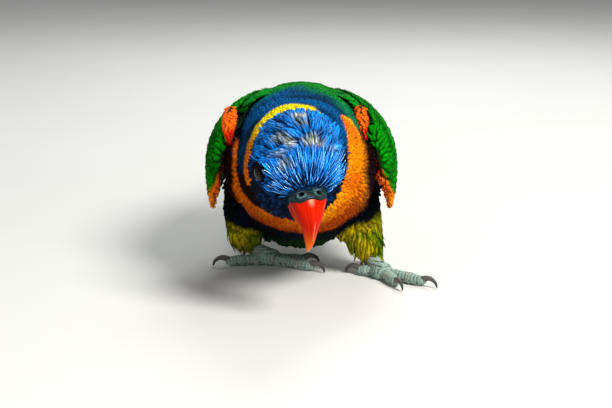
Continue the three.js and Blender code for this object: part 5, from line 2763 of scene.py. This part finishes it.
@dataclass
class Foot:
    """One foot: shank and toes under a single scaled hide, with four claws."""

    side_name: str
    leg: Leg
    voxel: float = 0.3
    scute: float = 1.35
    depth: float = 0.24
    toe_height: float = 1.8
    claw_reach: float = 6.0
    claw_rise: float = 1.7
    claw_thick: float = 1.4
    claw_tip: float = 0.22
    claw_sides: int = 18
    claw_floor: float = 0.3
    claw_clear: float = 0.03
    hide_clear: float = 0.02
    hide_sunk: float = 0.12

    def _way(self, toe: Toe) -> Array:
        """A toe's direction on the floor."""
        angle = math.radians(self.leg.turn + toe.value[0])
        return np.array([-self.leg.side * math.sin(angle), -math.cos(angle), 0.0])

    @property
    def middle(self) -> Array:
        """The pad's middle on the floor."""
        return np.array([self.leg.pad[0] * self.leg.side, self.leg.pad[1], 0.0])

    def build_hide(self, finish: Material) -> Object:
        """Fuses shank, pad and toes, then cuts the scutes and grains the pads.

        Args:
            finish: the piece's material.

        Returns:
            The hide.
        """
        nodes = [f"shank_{self.side_name}"] + [f"toe_{self.side_name}_{toe.name}" for toe in Toe]
        made = remeshed(joined_nodes(f"foot_{self.side_name}", nodes, 0.2), self.voxel, 6)
        surface = Surface.of(made.data)
        groove, swell = self._relief(surface)
        rise = swell - self.depth * groove - self.hide_sunk
        places = surface.points + surface.normals * rise[:, None]
        places[:, 2] = np.maximum(places[:, 2], self.hide_clear)
        write_places(made.data, places)
        write_attributes(made.data, "FLOAT", groove=groove)
        return dress(made, finish, nodes)

    def _relief(self, surface: Surface) -> tuple[Array, Array]:
        """Depth of the grooves between scutes, and the swelling of the scutes.

        Args:
            surface: the fused hide.

        Returns:
            Shares of groove from 0 to 1, and heights in millimetres.
        """
        points, normals = surface.points, surface.normals
        best = np.full(len(points), 1e9)
        along = np.zeros(len(points))
        for number, toe in enumerate(Toe):
            way = self._way(toe)
            offset = points - self.middle - UP * self.toe_height
            run = np.clip(offset @ way, 0, toe.value[1])
            distance = np.linalg.norm(offset - run[:, None] * way, axis=1)
            nearer = distance < best
            best = np.where(nearer, distance, best)
            along = np.where(nearer, run + number * 0.4, along)
        shank = points[:, 2] > 5.2
        along = np.where(shank, points[:, 2] * 1.05, along)
        wobble = Noise(41, 1.6)(points) * 0.5
        phase = (along / self.scute + wobble) % 1.0
        line = np.exp(-(((phase - 0.5) / 0.1) ** 2))
        upper = smoothstep(-0.35, 0.25, normals[:, 2] + 0.8 * shank)
        beads = smoothstep(0.45, 0.3, Noise(42, 0.75)(points))
        groove = np.clip(line * upper + beads * (1 - upper) * 0.8, 0, 1)
        swell = 0.12 * Noise(43, 1.2)(points)
        return groove, swell

    def _claw(self, toe: Toe) -> Route:
        """The curve of one toe's claw, from inside the toe to the floor.

        Args:
            toe: the toe that it grows from.

        Returns:
            The curve.
        """
        reach, rise = self.claw_reach, self.claw_rise
        bends = (
            (-2.0, self.toe_height + 0.5),
            (reach * 0.25, self.toe_height + rise),
            (reach * 0.7, self.toe_height + rise * 0.35),
            (reach * 0.86, self.claw_floor + 0.05),
        )
        way, length = self._way(toe), toe.value[1]
        return Route([self.middle + way * (length + out) + UP * height for out, height in bends])

    def build_claws(self, finish: Material) -> Object:
        """Makes four curved claws, each a tapered horn with a flat floor edge.

        Args:
            finish: the claws' horn.

        Returns:
            The claws as one piece.
        """
        share = np.linspace(0, 1, 22)
        radius = self.claw_tip + (self.claw_thick - self.claw_tip) * (1 - share) ** 0.7
        sheaf = Sheaf()
        for toe in Toe:
            route, way = self._claw(toe), self._way(toe)
            centres, heading = route.at(share), route.heading(share)
            across = np.broadcast_to(np.array([-way[1], way[0], 0]), centres.shape)
            over = unit(np.cross(across, heading))
            rings = tube(centres, across, over, radius * 0.82, radius, self.claw_sides)
            rings[..., 2] = np.maximum(rings[..., 2], self.claw_clear)
            sheaf.add(rings, share, np.zeros(self.claw_sides))
        made = sheaf.build(f"claws_{self.side_name}", "around")
        return dress(made, finish, [f"claw_{self.side_name}_{toe.name}" for toe in Toe])


@dataclass(frozen=True)
class Lamp:
    """A soft area light, in design millimetres."""

    name: str
    place: Point
    size: float
    power: float
    colour: Point = (1.0, 1.0, 1.0)
    aim: Point = (0.0, -20.0, 45.0)

    def build(self) -> None:
        """Hangs the lamp and turns it to its aim."""
        data = bpy.data.lights.new(self.name, "AREA")
        data.shape = "DISK"
        data.size = self.size * MM
        data.energy = self.power
        data.color = self.colour
        lamp = linked(self.name, data)
        lamp.location = to_metres(self.place)
        aim = Vector(to_metres(self.aim)) - lamp.location
        lamp.rotation_euler = aim.to_track_quat("-Z", "Y").to_euler()


@dataclass(frozen=True)
class Studio:
    """Pale floor, soft lights and the camera."""

    eye_point: Point = (1.8, -548.5, 164.5)
    tilt: float = 14.0
    lens: float = 85.0
    floor_side: float = 60000.0
    floor_drop: float = 0.03
    sky: float = 0.24
    sky_colour: tuple[float, ...] = (0.93, 0.96, 1.0, 1.0)
    lamps: tuple[Lamp, ...] = (
        Lamp("key", (420, -420, 620), 340, 9.0, (1.0, 0.98, 0.95)),
        Lamp("fill", (-520, -380, 260), 520, 0.7, (0.92, 0.96, 1.0)),
        Lamp("back", (120, 560, 560), 360, 3.0),
    )

    def build(self) -> None:
        """Sets up floor, world, lights and camera."""
        half = self.floor_side / 2
        corners = [(-half, -half), (half, -half), (half, half), (-half, half)]
        places = np.array([(x, y, -self.floor_drop) for x, y in corners])
        floor = mesh_object("floor", places, [(0, 1, 2, 3)], smooth=False)
        floor.data.materials.append(Floor("studio_floor", roughness=0.85, specular=0.2).build())
        world = bpy.data.worlds.new("studio")
        world.use_nodes = True
        colour, strength = world.node_tree.nodes["Background"].inputs[:2]
        colour.default_value = self.sky_colour
        strength.default_value = self.sky
        bpy.context.scene.world = world
        for lamp in self.lamps:
            lamp.build()
        data = bpy.data.cameras.new("camera")
        data.lens = self.lens
        data.sensor_width = 36.0
        data.clip_end = 100.0
        camera = linked("camera", data)
        camera.location = to_metres(self.eye_point)
        camera.rotation_euler = (math.radians(90 - self.tilt), 0, 0)
        bpy.context.scene.camera = camera
        bpy.context.scene.view_settings.view_transform = "Standard"


@dataclass
class Lorikeet:
    """The whole bird."""

    markings: Markings = field(default_factory=Markings)
    body_nodes: tuple[str, ...] = ("trunk", "neck", "head", "thigh_right", "thigh_left")
    head_depth: float = 1.25
    body_depth: float = 1.2
    wing_depth: float = 0.75
    bend_swell: dict[float, float] = field(default_factory=lambda: {-1.0: 0.8, 1.0: 2.6})
    bends: dict[str, tuple[Point, ...]] = field(
        default_factory=lambda: {
            "right": ((-26.8, -6, 67.4), (-27.2, -11, 63.4), (-27.3, -14.5, 59), (-27, -16, 55)),
            "left": ((22.6, -4.5, 67.4), (23, -9, 63.2), (23.8, -11.8, 58), (24.4, -12.8, 53.5)),
        }
    )

    def body_inset(self, points: Array) -> Array:
        """How deep the skin lies under the coat of head and body.

        Args:
            points: design points.

        Returns:
            Depths in millimetres.
        """
        reach = HEAD.reach(POSTURE.to_head(points))
        depth = self.head_depth + (self.body_depth - self.head_depth) * smoothstep(1.0, 1.2, reach)
        depth = depth - 0.7 * smoothstep(56, 74, points[:, 1])
        depth = depth - 0.95 * smoothstep(7.4, 5.2, self.markings.from_eye(POSTURE.to_head(points)))
        return depth - 1.4 * self.markings.flank(points)

    def wing_inset(self, points: Array) -> Array:
        """How deep the skin lies under the coverts, which swell inwards at the bend.

        Args:
            points: design points.

        Returns:
            Depths in millimetres.
        """
        side = float(np.sign(points[:, 0].mean()))
        along, down, out = WingShape(side).find(points)
        full = smoothstep(0.17, 0.05, along) * smoothstep(0.4, -0.8, out)
        full = full * smoothstep(0.02, 0.12, down) * smoothstep(0.95, 0.6, down)
        return self.wing_depth - self.bend_swell[side] * full

    def build(self) -> None:
        """Builds every piece from the skin outwards."""
        body = PluckedCore("core_body", self.body_nodes, self.body_inset).build()
        nodes = {name: f"wing_{name}" for name in SIDES}
        wings = {
            name: PluckedCore(f"core_{node}", [node], self.wing_inset, 0.7, 0.1, 4).build()
            for name, node in nodes.items()
        }
        bends = {name: BendCore(f"core_bend_{name}", line).build() for name, line in self.bends.items()}
        cores = [body, *wings.values(), *bends.values()]
        Skin(self.markings, cores, [*self.body_nodes, *nodes.values()]).build()
        self._bare_parts()
        self._coats(body, wings, bends)
        for core in cores:
            core.discard()

    def _bare_parts(self) -> None:
        """Eyes, lids, bill, cere, feet and claws."""
        eye_finish = EyeSurface("wet_eye", roughness=0.06, specular=0.14).build()
        lids = {"swell": (12, 16, 24), "groove": (4, 5, 7), "pale_and_highlight": (22, 28, 40)}
        lid_finish = Leather("lid_hide", 0.6, 0.02, **lids).build()
        for name, side in SIDES.items():
            eye = Eye(name, side)
            eye.build_ball(eye_finish)
            eye.build_lids(lid_finish)
        bill = Bill()
        horn = Horn("bill_gloss", roughness=0.3, specular=0.05).build()
        bill.build_upper(horn)
        bill.build_lower(horn)
        cere = {"swell": (26, 48, 52), "groove": (4, 5, 5), "pale_and_highlight": (100, 132, 138)}
        bill.build_cere(Leather("cere_leather", 0.5, 0.12, blotch=0.2, **cere).build())
        feet = {"swell": (146, 172, 160), "groove": (62, 80, 76), "pale_and_highlight": (172, 170, 152)}
        hide = Leather("foot_hide", 0.6, 0.2, **feet).build()
        dark = {"base": (100, 96, 92), "tip": (54, 50, 48), "shade": (20, 18, 18)}
        claw = Horn("claw_gloss", 0.35, 0.25, **dark, light=(96, 90, 84), pale_and_highlight=(96, 90, 84)).build()
        for name, leg in LEGS.items():
            foot = Foot(name, leg)
            foot.build_hide(hide)
            foot.build_claws(claw)

    def _coats(self, body: Core, wings: dict[str, Core], bends: dict[str, Core]) -> None:
        """Every piece of the coat, flight feathers and tail.

        Args:
            body: the shape under the body.
            wings: the shapes under the wings, by side.
            bends: the mounds at the wings' bends, by side.
        """
        tree = CoatTree().build()
        narrow = Vane((0, 0.3, 0.6, 0.86, 1.0), (0.3, 0.85, 1.0, 0.8, 0.25), 0.16, 0.08)
        tapered = Vane((0, 0.25, 0.5, 0.75, 1.0), (0.3, 0.85, 1.0, 0.75, 0.08), 0.1, 0.05)
        ragged = Vane((0, 0.2, 0.42, 0.64, 0.84, 1.0), (0.2, 0.7, 0.95, 1.0, 0.76, 0.2), 0.1, 0.08)
        slim = narrow.trio("slim_vane", 100)
        broad = Vane().trio("broad_vane", 200)
        fine = tapered.trio("fine_vane", 300)
        fringed = ragged.trio("fringed_vane", 400)
        gloss = {"barbs": 9.0, "barb_depth": 0.1, "shaft": 1.0, "root_shade": 0.25}
        glossy = Plumage("hood_plumage", 0.48, 0.05, **gloss).build()
        down = {"barb_depth": 0.08, "shaft": 0.0, "root_shade": 0.8, "mottle": 0.14, "relief": 0.25}
        soft = Plumage("body_plumage", 0.8, 0.02, **down).build()
        web = {"barb_depth": 0.1, "shaft": 0.0, "root_shade": 0.6, "mottle": 0.2, "relief": 0.4}
        firm = Plumage("wing_plumage", 0.8, 0.02, barbs=22.0, **web).build()
        stiff = {"barbs": 60.0, "barb_depth": 0.14, "shaft": 0.8, "root_shade": 0.8}
        long = Plumage("quill_plumage", 0.7, 0.03, **stiff).build()
        shared = {"tree": tree, "markings": self.markings}
        blue = {"slot": "hood_feathers", "core": body, "finish": glossy, "thick": 0.1, **shared}
        HoodCoat("coat_hood", vanes=slim, seed=51, camber=0.14, **blue).build()
        StreakCoat("streaks_hood", vanes=fine, seed=54, camber=0.2, **blue).build()
        plain = {"core": body, "finish": soft, "camber": 0.03, **shared}
        stretches = (
            ("coat_neck", "collar_feathers", broad, 52, Stretch.NECK),
            ("coat_back", "body_feathers", fringed, 53, Stretch.BACK),
            ("coat_belly", "body_feathers", broad, 55, Stretch.BELLY),
        )
        for piece, slot, vanes, seed, stretch in stretches:
            BodyCoat(piece, slot, vanes=vanes, seed=seed, stretch=stretch, **plain).build()
        for number, (name, side) in enumerate(SIDES.items()):
            wing = WingShape(side)
            thigh = {"vanes": fine, "seed": 60 + number, "side": side, **plain}
            ThighCoat(f"coat_thigh_{name}", "thigh_feathers", **thigh).build()
            shoulder = {"vanes": broad, "seed": 90 + number, "side": side, **plain}
            ScapularCoat(f"scapulars_{name}", "body_feathers", **shoulder).build()
            green = {"slot": "wing_feathers", "vanes": broad, "thick": 0.08, **shared}
            folded = {"core": wings[name], "wing": wing, "finish": firm, **green}
            WingCoat(f"coat_wing_{name}", seed=70 + number, outer=True, **folded).build()
            WingCoat(f"lining_wing_{name}", seed=80 + number, outer=False, **folded).build()
            bright = {"core": bends[name], "finish": soft, "camber": 0.04, **green}
            BendCoat(f"coat_bend_{name}", seed=95 + number, **bright).build()
            FlightFeathers(name, wing, long).build()
        TailFan(long).build()


def main() -> None:
    """Builds the studio and the bird."""
    logging.basicConfig(level=logging.INFO, format="%(asctime)s %(message)s")
    Studio().build()
    Lorikeet().build()


if __name__ == "__main__":
    main()
